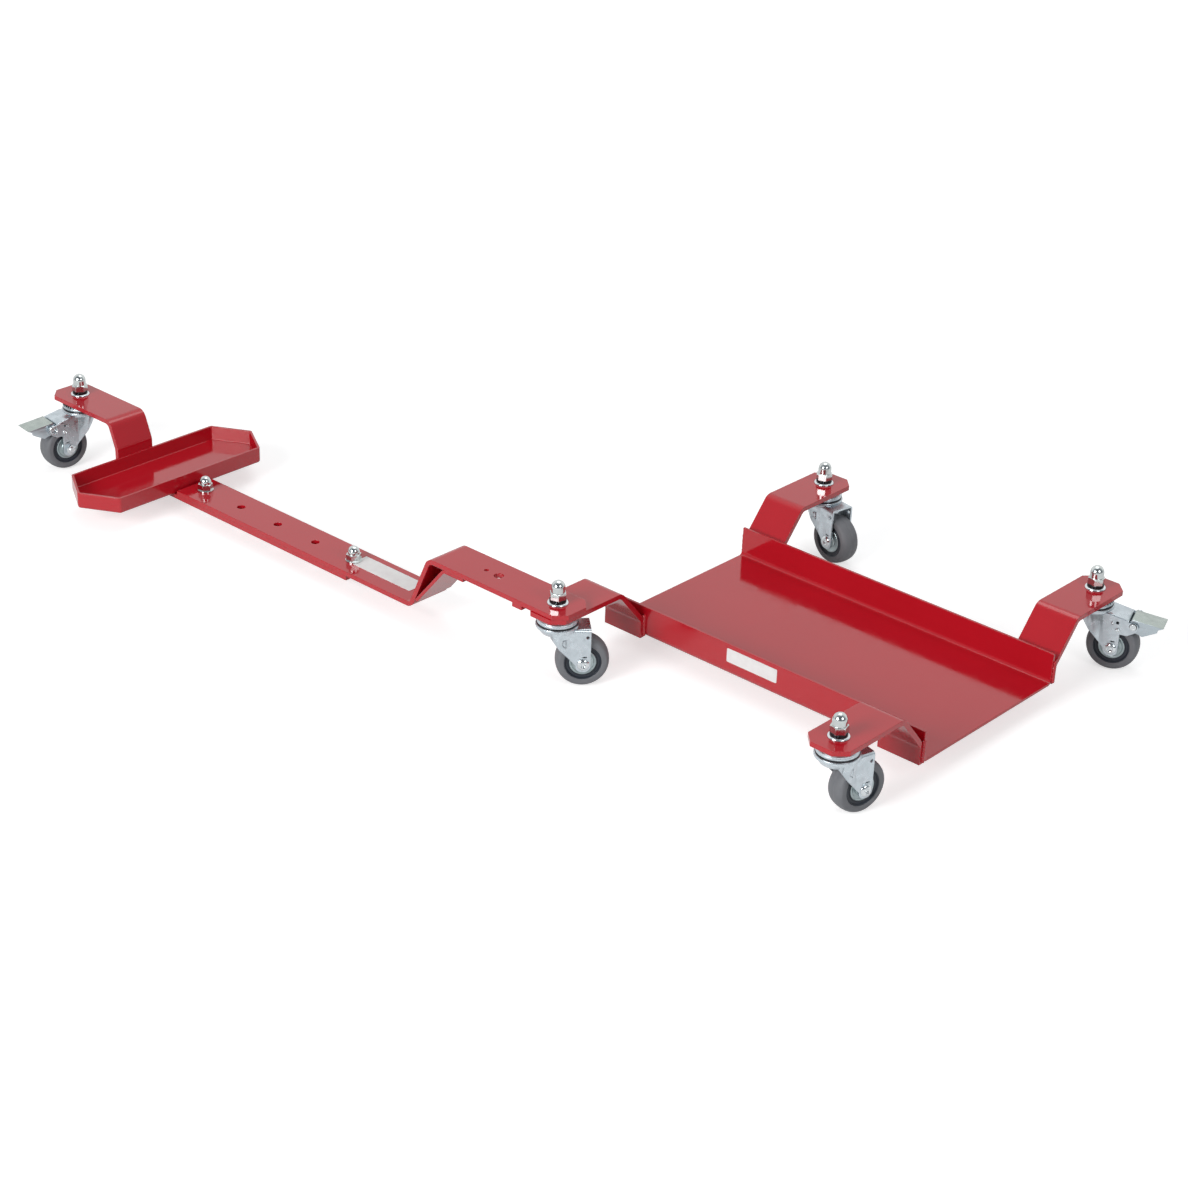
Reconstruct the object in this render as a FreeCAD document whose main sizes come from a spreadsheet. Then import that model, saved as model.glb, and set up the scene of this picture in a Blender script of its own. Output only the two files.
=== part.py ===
import FreeCAD
import Part
import math
import os
import re
import Sketcher

# Motorcycle dolly: a channel deck for the rear wheel on four swivel casters,
# and a cranked arm with a side stand tray on a fifth. Millimetres, Z up.
# Sizes marked "stem line" are measured along X from the front left caster
# stem, and across Y from the middle of the deck.

SIZES = [
    ("Frame",),
    ("centre_x", -206.8815, "stem line to the middle of the whole object"),
    ("centre_y", -51.1945, "deck middle to the middle of the whole object"),
    ("stem_span_y", 498.0, "deck caster stems, across the deck"),
    ("plate_t", 6.0, "bracket and arm plate"),
    ("plate_width", 57.0, "bracket and arm width"),
    ("plate_corner", 13.7, "cut corners of the plates"),
    ("plate_bend_r", 8.0, "inner bend radius of the plates"),
    ("bracket_top_z", 98.5, "top of the bracket flats"),
    ("stem_hole_r", 6.5, "stem holes"),
    ("Deck",),
    ("deck_length", 465.0, "along the deck, brackets flush with both ends"),
    ("deck_width", 255.0, "over the flanges"),
    ("deck_sheet", 3.0, "sheet"),
    ("deck_base_z", 26.0, "underside"),
    ("deck_rim_z", 66.0, "flange top"),
    ("deck_bend_r", 5.0, "inner bend radius"),
    ("deck_bend_z", 50.0, "lower bend of the deck brackets"),
    ("deck_lean", 40.5, "bracket lean from upright, degrees"),
    ("deck_bracket_end", 30.0, "stem to bracket end"),
    ("Side stand tray",),
    ("tray_near_x", -659.5, "stem line to the near wall"),
    ("tray_width", 102.0, "along the arm"),
    ("tray_length", 293.0, "point to point"),
    ("tray_point", 29.0, "depth of each pointed end"),
    ("tray_sheet", 3.0, "sheet"),
    ("tray_base_z", 28.0, "underside"),
    ("tray_rim_z", 50.0, "rim"),
    ("tray_bend_r", 4.0, "outer bend radius"),
    ("tray_bar_left_x", -755.0, "stem line"),
    ("tray_bar_right_x", -330.0, "stem line"),
    ("tray_bend_z", 62.0, "lower bend of the tray bracket"),
    ("tray_lean", 22.0, "bracket lean from upright, degrees"),
    ("tray_bracket_reach", 115.0, "tray wall to stem"),
    ("tray_bracket_end", 33.0, "stem to bracket end"),
    ("tray_bracket_shift", 12.0, "bracket beside the arm line"),
    ("Arm",),
    ("arm_end_x", 31.0, "stem line"),
    ("arm_low_bend_x", -217.0, "stem line to the lower inner bend"),
    ("arm_lean", 23.7, "steep part from upright, degrees"),
    ("arm_tray_gap", 3.5, "arm end to the tray wall"),
    ("arm_hole_x", -95.0, "stem line to the large spare hole"),
    ("arm_hole_r", 6.25, "large spare hole"),
    ("arm_pilot_x", -115.5, "stem line to the small hole"),
    ("arm_pilot_r", 3.0, "small hole"),
    ("arm_row_x", -631.9, "stem line to the first length hole"),
    ("arm_row_pitch", 71.4, "length holes"),
    ("arm_row_count", 5, "length holes"),
    ("arm_row_r", 5.5, "length holes"),
    ("brace_t", 4.0, "brace sheet"),
    ("brace_foot_z", 42.0, "brace end on the steep part"),
    ("brace_lean", 39.5, "brace from upright, degrees"),
    ("brace_tab", 34.0, "brace tab under the arm"),
    ("brace_bend_r", 4.0, "inner bend radius"),
    ("lug_length", 15.0, "stop lug along the arm"),
    ("lug_width", 12.0, "stop lug across the arm"),
    ("lug_height", 5.5, "stop lug"),
    ("lug_gap", 2.5, "stop lug to bracket edge"),
    ("lug_inset", 0.5, "stop lug from the arm edge"),
    ("Arm bolts",),
    ("bolt_r", 5.0, "shank"),
    ("bolt_head_af", 17.0, "across flats"),
    ("bolt_head_h", 6.5, "head"),
    ("bolt_nut_af", 17.0, "across flats"),
    ("bolt_nut_hex_h", 8.0, "hexagon part"),
    ("bolt_nut_dome_r", 7.6, "dome"),
    ("bolt_nut_h", 18.0, "nut"),
    ("bolt_washer_r", 10.5, "washer"),
    ("bolt_washer_t", 2.0, "washer"),
    ("bolt_rise", 11.0, "shank above the washer"),
    ("Stem nuts",),
    ("stem_r", 6.0, "stem"),
    ("stem_rise", 14.0, "stem inside the nut"),
    ("nut_af", 18.0, "across flats"),
    ("nut_hex_h", 8.5, "hexagon part"),
    ("nut_dome_r", 8.3, "dome"),
    ("nut_h", 23.0, "nut"),
    ("washer_r", 12.5, "flat washer"),
    ("washer_t", 2.5, "flat washer"),
    ("lock_washer_r", 10.0, "spring washer"),
    ("lock_washer_t", 3.5, "spring washer"),
    ("thread_gap", 0.05, "shank to bore"),
    ("Casters",),
    ("wheel_r", 31.75, "rolling radius"),
    ("caster_trail", 30.0, "stem to axle"),
    ("head_r", 24.0, "edge of the upper race"),
    ("head_rim_t", 4.5, "edge of the upper race"),
    ("head_neck_r", 18.0, "upper race under the plate"),
    ("head_t", 10.9, "upper race"),
    ("kingpin_r", 5.0, "rivet"),
    ("kingpin_head_r", 8.0, "rivet head"),
    ("kingpin_head_t", 2.5, "rivet head"),
    ("race_gap", 0.6, "upper race to fork, and fork to rivet head"),
    ("fork_crown_r", 25.0, "fork crown"),
    ("fork_race_r", 23.5, "top of the fork crown"),
    ("fork_race_t", 4.0, "rise of the fork crown"),
    ("fork_sheet", 2.5, "pressed sheet"),
    ("fork_half_width", 17.0, "outer leg face from the middle"),
    ("fork_top_z", 77.0, "leg top"),
    ("fork_skirt_z", 69.0, "front lip of the crown"),
    ("fork_knee", 2.0, "stem to where the legs leave the crown's curve"),
    ("fork_fold", 15.0, "stem to the fold where the legs turn straight"),
    ("fork_wing_tip", -12.0, "stem to the front end of the legs"),
    ("fork_front_z", 68.0, "top of the sloping front edge"),
    ("fork_rear", 8.5, "rear leg edge from the axle"),
    ("fork_foot_r", 10.0, "leg foot about the axle"),
    ("fork_bend_r", 1.6, "inner bend radius of the top"),
    ("fork_hole_r", 2.0, "small leg hole"),
    ("axle_r", 4.0, "axle bolt"),
    ("axle_head_af", 13.0, "across flats"),
    ("axle_head_t", 4.5, "head and nut"),
    ("pin_gap", 0.06, "turning fit, radius"),
    ("Wheels",),
    ("tread_width", 25.0, "tyre"),
    ("shoulder_r", 28.5, "tyre edge"),
    ("rim_r", 21.8, "core under the tyre"),
    ("rim_width", 22.0, "core"),
    ("hub_r", 16.0, "hub disc"),
    ("hub_disc_width", 23.0, "hub disc"),
    ("hub_nose_r", 8.0, "hub nose"),
    ("hub_width", 27.0, "hub over the noses"),
    ("Brakes",),
    ("pivot_x", 23.2, "axle to pedal pivot, back"),
    ("pivot_z", 33.8, "axle to pedal pivot, up"),
    ("pivot_r", 2.5, "pedal pin"),
    ("pivot_head_r", 4.0, "pedal pin head"),
    ("pivot_head_t", 1.6, "pedal pin head"),
    ("ear_r", 6.0, "rounded end of the fork ears"),
    ("ear_foot_z", 20.5, "underside of the ears above the axle"),
    ("hood_end_x", 17.4, "sloped top plate end behind the axle"),
    ("hood_end_z", 40.5, "sloped top plate end above the axle"),
    ("pedal_half_width", 14.2, "pedal"),
    ("pedal_sheet", 2.0, "pedal"),
    ("pedal_back_x", -2.6, "pivot to the back of the top plate"),
    ("pedal_back_z", 8.0, "back of the top plate above the pivot"),
    ("pedal_toe_x", 35.0, "pivot to the toe"),
    ("pedal_toe_z", 4.0, "toe above the pivot"),
    ("pedal_toe_cut", 6.0, "toe to the end of the cheeks"),
    ("pedal_cheek_z", -3.0, "end of the cheeks from the pivot"),
    ("pedal_belly_x", 11.4, "pivot to the lowest bend of the cheeks"),
    ("pedal_belly_z", -12.0, "lowest bend of the cheeks from the pivot"),
    ("pedal_heel_x", 5.1, "half width of the cheeks at the pivot"),
    ("pedal_heel_z", -9.5, "front of the shoe from the pivot"),
    ("pedal_neck_z", -6.0, "back of the cheeks from the pivot"),
    ("shoe_radius", 8.3, "brake shoe edge from the pivot"),
    ("shoe_rest", 25.0, "shoe off the line to the axle, degrees"),
    ("Headings of the casters, degrees",),
    ("heading_tray", 262.0, "stem to axle, from +X towards +Y"),
    ("heading_back_left", -10.0, "same"),
    ("heading_back_right", 20.0, "same"),
    ("heading_front_right", 75.0, "same"),
    ("heading_front_left", 48.0, "same"),
]

STEM_SPAN_X = "(deck_length - plate_width)"
ARM_Y = "(-stem_span_y / 2)"
TRAY_WALL_X = "(tray_near_x - tray_width)"
LOW_FLAT_Z = "(tray_base_z + plate_t)"
AXLE_X = "caster_trail"
FOOT_Z = "(wheel_r - fork_foot_r)"
FOOT_ROUND = "(fork_foot_r * 0.8)"
FOOT_FRONT = f"({AXLE_X} - fork_foot_r + 1)"
FOOT_TOP = f"({FOOT_Z} + 1.1 * {FOOT_ROUND})"
PEDAL_FALL = "((pedal_back_z - pedal_toe_z) / (pedal_toe_x - pedal_back_x))"
TREAD_RISE = "(wheel_r - shoulder_r)"
TREAD_CURVE = f"((tread_width ^ 2 / 4 + {TREAD_RISE} ^ 2) / (2 * {TREAD_RISE}))"

# Name, stem place, whether it has a brake, and how much higher its nut sits.
CASTERS = [
    ("tray", f"({TRAY_WALL_X} - tray_bracket_reach)", f"({ARM_Y} - tray_bracket_shift)", True, "0"),
    ("back_left", "0", "(stem_span_y / 2)", False, "0"),
    ("back_right", STEM_SPAN_X, "(stem_span_y / 2)", True, "0"),
    ("front_right", STEM_SPAN_X, ARM_Y, False, "0"),
    ("front_left", "0", ARM_Y, False, "plate_t"),
]

doc = FreeCAD.newDocument("dolly")
sheet = doc.addObject("Spreadsheet::Sheet", "sizes")


# Sizes

def fill_sheet():
    """Write every driving size with its name and a note."""
    for row, entry in enumerate(SIZES, start=1):
        sheet.set(f"A{row}", entry[0])
        if len(entry) == 1:
            continue
        alias, value, note = entry
        sheet.set(f"B{row}", str(value))
        sheet.setAlias(f"B{row}", alias)
        sheet.set(f"C{row}", note)
    doc.recompute()


def bound(text):
    """Point the size names of a formula at the sheet."""
    return re.sub(r"\b([a-z]+(?:_[a-z]+)+)\b", r"sizes.\1", text)


def number(text):
    """Present value of a formula."""
    return float(sheet.evalExpression(text))


def place(item, x, y, z="0", turn="0"):
    """Stand an item at its place, turned about the vertical."""
    item.Placement = FreeCAD.Placement(FreeCAD.Vector(), FreeCAD.Rotation(FreeCAD.Vector(0, 0, 1), 0))
    item.setExpression("Placement.Base.x", bound(f"{x} - centre_x"))
    item.setExpression("Placement.Base.y", bound(f"{y} - centre_y"))
    item.setExpression("Placement.Base.z", bound(z))
    item.setExpression("Placement.Rotation.Angle", bound(turn))


# Sketches

def new_body(label):
    """Empty body whose label names its piece."""
    body = doc.addObject("PartDesign::Body", label)
    body.Label = label
    return body


def new_sketch(body, name, plane, lift):
    """Sketch on one of the body's own planes, lifted along its normal."""
    sketch = body.newObject("Sketcher::SketchObject", f"{body.Label}_{name}")
    support = [part for part in body.Origin.OriginFeatures if part.Role == plane][0]
    sketch.AttachmentSupport = [(support, "")]
    sketch.MapMode = "FlatFace"
    if lift != "0":
        sketch.setExpression("AttachmentOffset.Base.z", bound(lift))
    return sketch


def pin_point(sketch, side, spot, x, y):
    """Tie one point of the sketch to its place in the sheet."""
    across = sketch.addConstraint(Sketcher.Constraint("DistanceX", -1, 1, side, spot, number(x)))
    sketch.setExpression(f"Constraints[{across}]", bound(x))
    along = sketch.addConstraint(Sketcher.Constraint("DistanceY", -1, 1, side, spot, number(y)))
    sketch.setExpression(f"Constraints[{along}]", bound(y))


def arc_between(start, end, radius):
    """Arc from start to end, turning anticlockwise, shorter way round."""
    chord = end.sub(start)
    sag = math.sqrt(max(radius ** 2 - (chord.Length / 2) ** 2, 0.0))
    normal = FreeCAD.Vector(-chord.y, chord.x, 0).normalize()
    centre = start.add(chord.multiply(0.5)).add(normal.multiply(sag))
    first = math.atan2(start.y - centre.y, start.x - centre.x)
    last = math.atan2(end.y - centre.y, end.x - centre.x)
    circle = Part.Circle(centre, FreeCAD.Vector(0, 0, 1), radius)
    return Part.ArcOfCircle(circle, first, last if last > first else last + 2 * math.pi)


def outline(body, name, plane, corners, arcs=None, lift="0"):
    """Closed outline through the corners; arcs gives the radius of a rounded side."""
    arcs = arcs or {}
    sketch = new_sketch(body, name, plane, lift)
    points = [FreeCAD.Vector(number(x), number(y), 0) for x, y in corners]
    for side, start in enumerate(points):
        end = points[(side + 1) % len(points)]
        if side in arcs:
            sketch.addGeometry(arc_between(start, end, number(arcs[side])), False)
        else:
            sketch.addGeometry(Part.LineSegment(start, end), False)
    for side in range(len(points)):
        following = (side + 1) % len(points)
        sketch.addConstraint(Sketcher.Constraint("Coincident", side, 2, following, 1))
    for side, (x, y) in enumerate(corners):
        pin_point(sketch, side, 1, x, y)
    for side, radius in arcs.items():
        tie = sketch.addConstraint(Sketcher.Constraint("Radius", side, number(radius)))
        sketch.setExpression(f"Constraints[{tie}]", bound(radius))
    return sketch


def circles(body, name, plane, spots, lift="0"):
    """Circles, each given by its centre and radius."""
    sketch = new_sketch(body, name, plane, lift)
    for side, (x, y, radius) in enumerate(spots):
        centre = FreeCAD.Vector(number(x), number(y), 0)
        sketch.addGeometry(Part.Circle(centre, FreeCAD.Vector(0, 0, 1), number(radius)), False)
        pin_point(sketch, side, 3, x, y)
        tie = sketch.addConstraint(Sketcher.Constraint("Radius", side, number(radius)))
        sketch.setExpression(f"Constraints[{tie}]", bound(radius))
    return sketch


def hexagon(across):
    """Corners of a hexagon of the given width across its flats."""
    return [(f"{across} / sqrt(3) * cos({60 * step})", f"{across} / sqrt(3) * sin({60 * step})")
            for step in range(6)]


# Features

def raised(body, name, sketch, length, both=False, back=False):
    """Pad of the given length, to one side or evenly to both."""
    feature = body.newObject("PartDesign::Pad", f"{body.Label}_{name}")
    feature.Profile = sketch
    feature.SideType = "Symmetric" if both else "One side"
    feature.Reversed = back
    feature.setExpression("Length", bound(length))
    doc.recompute()
    return feature


def cut(body, name, sketch, length, both=True, back=False):
    """Pocket of the given length; it must take material away."""
    before = body.Shape.Volume
    feature = body.newObject("PartDesign::Pocket", f"{body.Label}_{name}")
    feature.Profile = sketch
    feature.SideType = "Symmetric" if both else "One side"
    feature.Reversed = back
    feature.setExpression("Length", bound(length))
    doc.recompute()
    if not body.Shape.Volume < before - 0.01:
        raise RuntimeError(f"{body.Label} {name} takes nothing away")
    return feature


def turned(body, name, sketch, axis, kind="Revolution"):
    """Full turn of a section about an axis of its sketch."""
    feature = body.newObject(f"PartDesign::{kind}", f"{body.Label}_{name}")
    feature.Profile = sketch
    feature.ReferenceAxis = (sketch, [axis])
    feature.Angle = 360
    doc.recompute()
    return feature


def edges_at(feature, *spots):
    """Names of the straight edges lying at the given places; None means anywhere."""
    found = []
    for index, edge in enumerate(feature.Shape.Edges, start=1):
        ends = [vertex.Point for vertex in edge.Vertexes]
        for spot in spots:
            wanted = [(axis, number(value)) for axis, value in enumerate(spot) if value is not None]
            if all(abs(end[axis] - value) < 0.01 for end in ends for axis, value in wanted):
                found.append(f"Edge{index}")
    return found


def edges_over(feature, side, low):
    """Names of the edges at a distance to either side of the middle that lie above a height."""
    return [f"Edge{index}" for index, edge in enumerate(feature.Shape.Edges, start=1)
            if all(abs(abs(vertex.Y) - number(side)) < 0.01 and vertex.Z > number(low) for vertex in edge.Vertexes)
            and len({round(vertex.Y) for vertex in edge.Vertexes}) == 1]


def rounded(body, name, base, names, radius):
    """Fillet on the named edges."""
    feature = body.newObject("PartDesign::Fillet", f"{body.Label}_{name}")
    feature.Base = (base, names)
    feature.setExpression("Radius", bound(radius))
    doc.recompute()
    return feature


def bevelled(body, name, base, names, size):
    """Chamfer on the named edges."""
    feature = body.newObject("PartDesign::Chamfer", f"{body.Label}_{name}")
    feature.Base = (base, names)
    feature.setExpression("Size", bound(size))
    doc.recompute()
    return feature


# Deck

def make_deck():
    """Channel with upright flanges, open at both ends."""
    body = new_body("deck")
    half = "(deck_width / 2)"
    inner = "(deck_width / 2 - deck_sheet)"
    floor = "(deck_base_z + deck_sheet)"
    section = outline(body, "section", "YZ_Plane", [
        (f"-{half}", "deck_base_z"), (half, "deck_base_z"), (half, "deck_rim_z"), (inner, "deck_rim_z"),
        (inner, floor), (f"-{inner}", floor), (f"-{inner}", "deck_rim_z"), (f"-{half}", "deck_rim_z"),
    ])
    channel = raised(body, "sheet", section, "deck_length")
    inside = edges_at(channel, (None, inner, floor), (None, f"-{inner}", floor))
    bent = rounded(body, "inner_bends", channel, inside, "deck_bend_r")
    outside = edges_at(bent, (None, half, "deck_base_z"), (None, f"-{half}", "deck_base_z"))
    rounded(body, "outer_bends", bent, outside, "deck_bend_r + deck_sheet")
    place(body, "-plate_width / 2", "0")
    return body


# Caster brackets

def make_bracket(label, foot, bend, lean, reach, end, spot):
    """Bent plate: upright foot on a wall, leaning part, and a flat for the stem."""
    body = new_body(label)
    run = f"((bracket_top_z - {bend}) * tan({lean}))"
    tip = f"({reach} + {end})"
    low_y = f"({run} + plate_t * tan((90 - {lean}) / 2))"
    low_z = f"({bend} - plate_t * tan({lean} / 2))"
    under = "(bracket_top_z - plate_t)"
    section = outline(body, "section", "YZ_Plane", [
        ("0", foot), ("plate_t", foot), ("plate_t", low_z), (low_y, under), (tip, under),
        (tip, "bracket_top_z"), (run, "bracket_top_z"), ("0", bend),
    ])
    plate = raised(body, "plate", section, "plate_width", both=True)
    inside = edges_at(plate, (None, low_y, under), (None, "plate_t", low_z))
    bent = rounded(body, "inner_bends", plate, inside, "plate_bend_r")
    outside = edges_at(bent, (None, run, "bracket_top_z"), (None, "0", bend))
    bent = rounded(body, "outer_bends", bent, outside, "plate_bend_r + plate_t")
    corners = edges_at(bent, ("plate_width / 2", tip, None), ("-plate_width / 2", tip, None))
    bevelled(body, "corners", bent, corners, "plate_corner")
    hole = circles(body, "stem_spot", "XY_Plane", [("0", reach, "stem_hole_r")])
    cut(body, "stem_hole", hole, "3 * bracket_top_z")
    place(body, *spot)
    return body


def make_brackets():
    """One bracket at each deck caster and one on the tray."""
    reach = "(stem_span_y / 2 - deck_width / 2)"
    wall = "deck_width / 2"
    deck_form = ("deck_base_z", "deck_bend_z", "deck_lean", reach, "deck_bracket_end")
    tray_form = ("tray_base_z", "tray_bend_z", "tray_lean", "tray_bracket_reach", "tray_bracket_end")
    return [
        make_bracket("bracket_back_left", *deck_form, ("0", wall, "0", "0")),
        make_bracket("bracket_back_right", *deck_form, (STEM_SPAN_X, wall, "0", "0")),
        make_bracket("bracket_front_right", *deck_form, (STEM_SPAN_X, f"-{wall}", "0", "180")),
        make_bracket("bracket_front_left", *deck_form, ("0", f"-{wall}", "0", "180")),
        make_bracket("bracket_tray", *tray_form, (TRAY_WALL_X, f"({ARM_Y} - tray_bracket_shift)", "0", "90")),
    ]


# Arm

ARM_RISE = "(bracket_top_z - tray_base_z)"
ARM_TURN = "(plate_t * tan((90 - arm_lean) / 2))"


def arm_back(height):
    """Place of the underside of the steep part at a height."""
    return f"(arm_low_bend_x + {ARM_TURN} + ({height} - tray_base_z) * tan(arm_lean))"


def make_arm_bar():
    """Flat bar cranked down from the caster bracket to the tray."""
    body = new_body("arm_bar")
    top = "(bracket_top_z + plate_t)"
    top_bend = f"(arm_low_bend_x + {ARM_RISE} * tan(arm_lean))"
    end = "(tray_near_x + arm_tray_gap)"
    section = outline(body, "section", "XZ_Plane", [
        (end, "tray_base_z"), (arm_back("tray_base_z"), "tray_base_z"),
        (arm_back("bracket_top_z"), "bracket_top_z"), ("arm_end_x", "bracket_top_z"), ("arm_end_x", top),
        (top_bend, top), ("arm_low_bend_x", LOW_FLAT_Z), (end, LOW_FLAT_Z),
    ])
    bar = raised(body, "bar", section, "plate_width", both=True)
    inside = edges_at(bar, ("arm_low_bend_x", None, LOW_FLAT_Z),
                      (arm_back("bracket_top_z"), None, "bracket_top_z"))
    bent = rounded(body, "inner_bends", bar, inside, "plate_bend_r")
    outside = edges_at(bent, (top_bend, None, top), (arm_back("tray_base_z"), None, "tray_base_z"))
    bent = rounded(body, "outer_bends", bent, outside, "plate_bend_r + plate_t")
    corners = edges_at(bent, ("arm_end_x", "plate_width / 2", None), ("arm_end_x", "-plate_width / 2", None))
    bevelled(body, "corners", bent, corners, "plate_corner")
    spots = circles(body, "top_spots", "XY_Plane", [
        ("0", "0", "stem_hole_r"), ("arm_hole_x", "0", "arm_hole_r"), ("arm_pilot_x", "0", "arm_pilot_r"),
    ])
    cut(body, "top_holes", spots, "3 * bracket_top_z")
    hole_row(body)
    place(body, "0", ARM_Y)
    return body


def hole_row(body):
    """Row of holes that sets the length of the arm."""
    spot = circles(body, "row_spot", "XY_Plane", [("arm_row_x", "0", "arm_row_r")])
    hole = cut(body, "row_hole", spot, "3 * bracket_top_z")
    row = body.newObject("PartDesign::LinearPattern", f"{body.Label}_row")
    row.Originals = [hole]
    row.Direction = (spot, ["H_Axis"])
    row.setExpression("Length", bound("arm_row_pitch * (arm_row_count - 1)"))
    row.setExpression("Occurrences", bound("arm_row_count"))
    body.Tip = row
    doc.recompute()


def make_tray_bar():
    """Flat bar under the arm and the tray."""
    body = new_body("tray_bar")
    half = "(plate_width / 2)"
    plan = outline(body, "plan", "XY_Plane", [
        ("tray_bar_left_x", f"-{half}"), ("tray_bar_right_x", f"-{half}"),
        ("tray_bar_right_x", half), ("tray_bar_left_x", half),
    ])
    raised(body, "bar", plan, "plate_t")
    hole_row(body)
    place(body, "0", ARM_Y, "tray_base_z - plate_t")
    return body


def make_brace():
    """Strip that props the top of the arm from its steep part."""
    body = new_body("arm_brace")
    foot_x = f"({arm_back('brace_foot_z')} + 0.2)"
    corner = f"({foot_x} + (bracket_top_z - brace_foot_z) * tan(brace_lean))"
    low_corner = f"({corner} + brace_t * tan((90 - brace_lean) / 2))"
    under = "(bracket_top_z - brace_t)"
    end = f"({corner} + brace_tab)"
    section = outline(body, "section", "XZ_Plane", [
        (foot_x, "brace_foot_z"),
        (f"{foot_x} + brace_t * cos(brace_lean)", "brace_foot_z - brace_t * sin(brace_lean)"),
        (low_corner, under), (end, under), (end, "bracket_top_z"), (corner, "bracket_top_z"),
    ])
    strip = raised(body, "strip", section, "plate_width", both=True)
    inside = edges_at(strip, (low_corner, None, under))
    bent = rounded(body, "inner_bend", strip, inside, "brace_bend_r")
    outside = edges_at(bent, (corner, None, "bracket_top_z"))
    rounded(body, "outer_bend", bent, outside, "brace_bend_r + brace_t")
    place(body, "0", ARM_Y)
    return body


def make_lug():
    """Block under the arm that stops it turning about the stem."""
    lug = doc.addObject("Part::Box", "arm_stop_lug")
    lug.setExpression("Length", bound("lug_length"))
    lug.setExpression("Width", bound("lug_width"))
    lug.setExpression("Height", bound("lug_height"))
    place(lug, "-plate_width / 2 - lug_gap - lug_length", f"{ARM_Y} - plate_width / 2 + lug_inset",
          "bracket_top_z - lug_height")
    return lug


# Side stand tray

def make_tray():
    """Pan with pointed ends, open at the top."""
    body = new_body("side_stand_tray")
    half = "(tray_width / 2)"
    tip = "(tray_length / 2)"
    side = "(tray_length / 2 - tray_point)"
    plan = outline(body, "plan", "XY_Plane", [
        (half, f"-{side}"), (half, side), ("0", tip), (f"-{half}", side), (f"-{half}", f"-{side}"),
        ("0", f"-{tip}"),
    ])
    block = raised(body, "block", plan, "tray_rim_z - tray_base_z")
    spots = [(half, f"-{side}"), (half, side), ("0", tip), (f"-{half}", side), (f"-{half}", f"-{side}"),
             ("0", f"-{tip}")]
    uprights = edges_at(block, *[(x, y, None) for x, y in spots])
    eased = rounded(body, "upright_bends", block, uprights, "tray_bend_r")
    lower = edges_at(eased, (None, None, "0"))
    eased = rounded(body, "lower_bends", eased, lower, "tray_bend_r")
    top = [f"Face{index}" for index, face in enumerate(eased.Shape.Faces, start=1)
           if abs(face.BoundBox.ZMin - number("tray_rim_z - tray_base_z")) < 0.01]
    shell = body.newObject("PartDesign::Thickness", "side_stand_tray_sheet")
    shell.Base = (eased, top)
    shell.Reversed = True
    shell.setExpression("Value", bound("tray_sheet"))
    doc.recompute()
    place(body, f"{TRAY_WALL_X} + tray_width / 2", ARM_Y, "tray_base_z")
    return body


# Nuts, bolts and washers

def make_cap_nut(label, across, hex_h, dome_r, height, bore_r, bore_h, washer=None):
    """Domed nut standing on its own base, with a washer under it where given."""
    body = new_body(label)
    washer_r, washer_t = washer or ("0", "0")
    top = f"({washer_t} + {hex_h})"
    summit = f"({washer_t} + {height})"
    body_plan = outline(body, "hexagon", "XY_Plane", hexagon(across), lift=washer_t)
    raised(body, "flats", body_plan, hex_h)
    chamfer = outline(body, "chamfer", "XZ_Plane", [
        (f"{across} / 2", top), (f"{across}", f"{top} - {across} / 2 * tan(30)"), (across, top),
    ])
    turned(body, "top_chamfer", chamfer, "V_Axis", "Groove")
    dome = outline(body, "dome", "XZ_Plane", [
        ("0", f"{top} - 1"), (dome_r, f"{top} - 1"), (dome_r, f"{summit} - {dome_r}"), ("0", summit),
    ], arcs={2: dome_r})
    turned(body, "cap", dome, "V_Axis")
    if washer:
        disc = circles(body, "washer_plan", "XY_Plane", [("0", "0", washer_r)])
        raised(body, "washer", disc, washer_t)
    bore = circles(body, "bore_spot", "XY_Plane", [("0", "0", bore_r)])
    cut(body, "bore", bore, bore_h, both=False, back=True)
    return body


def make_ring(label, outer, inner, height):
    """Flat ring."""
    body = new_body(label)
    plan = circles(body, "plan", "XY_Plane", [("0", "0", outer), ("0", "0", inner)])
    raised(body, "ring", plan, height)
    return body


def gathered(label, items):
    """One piece made of like items that do not touch."""
    group = doc.addObject("Part::Compound", label)
    group.Label = label
    group.Links = items
    doc.recompute()
    return group


def make_stem_hardware():
    """Washers and domed nuts over every caster stem."""
    flats = []
    locks = []
    nuts = []
    for name, x, y, _brake, lift in CASTERS:
        seat = f"bracket_top_z + {lift}"
        washer = make_ring(f"washer_{name}", "washer_r", "stem_hole_r", "washer_t")
        place(washer, x, y, seat)
        flats.append(washer)
        lock = make_ring(f"lock_washer_{name}", "lock_washer_r", "stem_hole_r", "lock_washer_t")
        place(lock, x, y, f"{seat} + washer_t")
        locks.append(lock)
        nut = make_cap_nut(f"cap_nut_{name}", "nut_af", "nut_hex_h", "nut_dome_r", "nut_h",
                           "stem_r + thread_gap", "stem_rise + 1")
        place(nut, x, y, f"{seat} + washer_t + lock_washer_t", f"heading_{name} + 90")
        nuts.append(nut)
    return [gathered("stem_washers", flats), gathered("stem_lock_washers", locks),
            gathered("stem_cap_nuts", nuts)]


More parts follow.
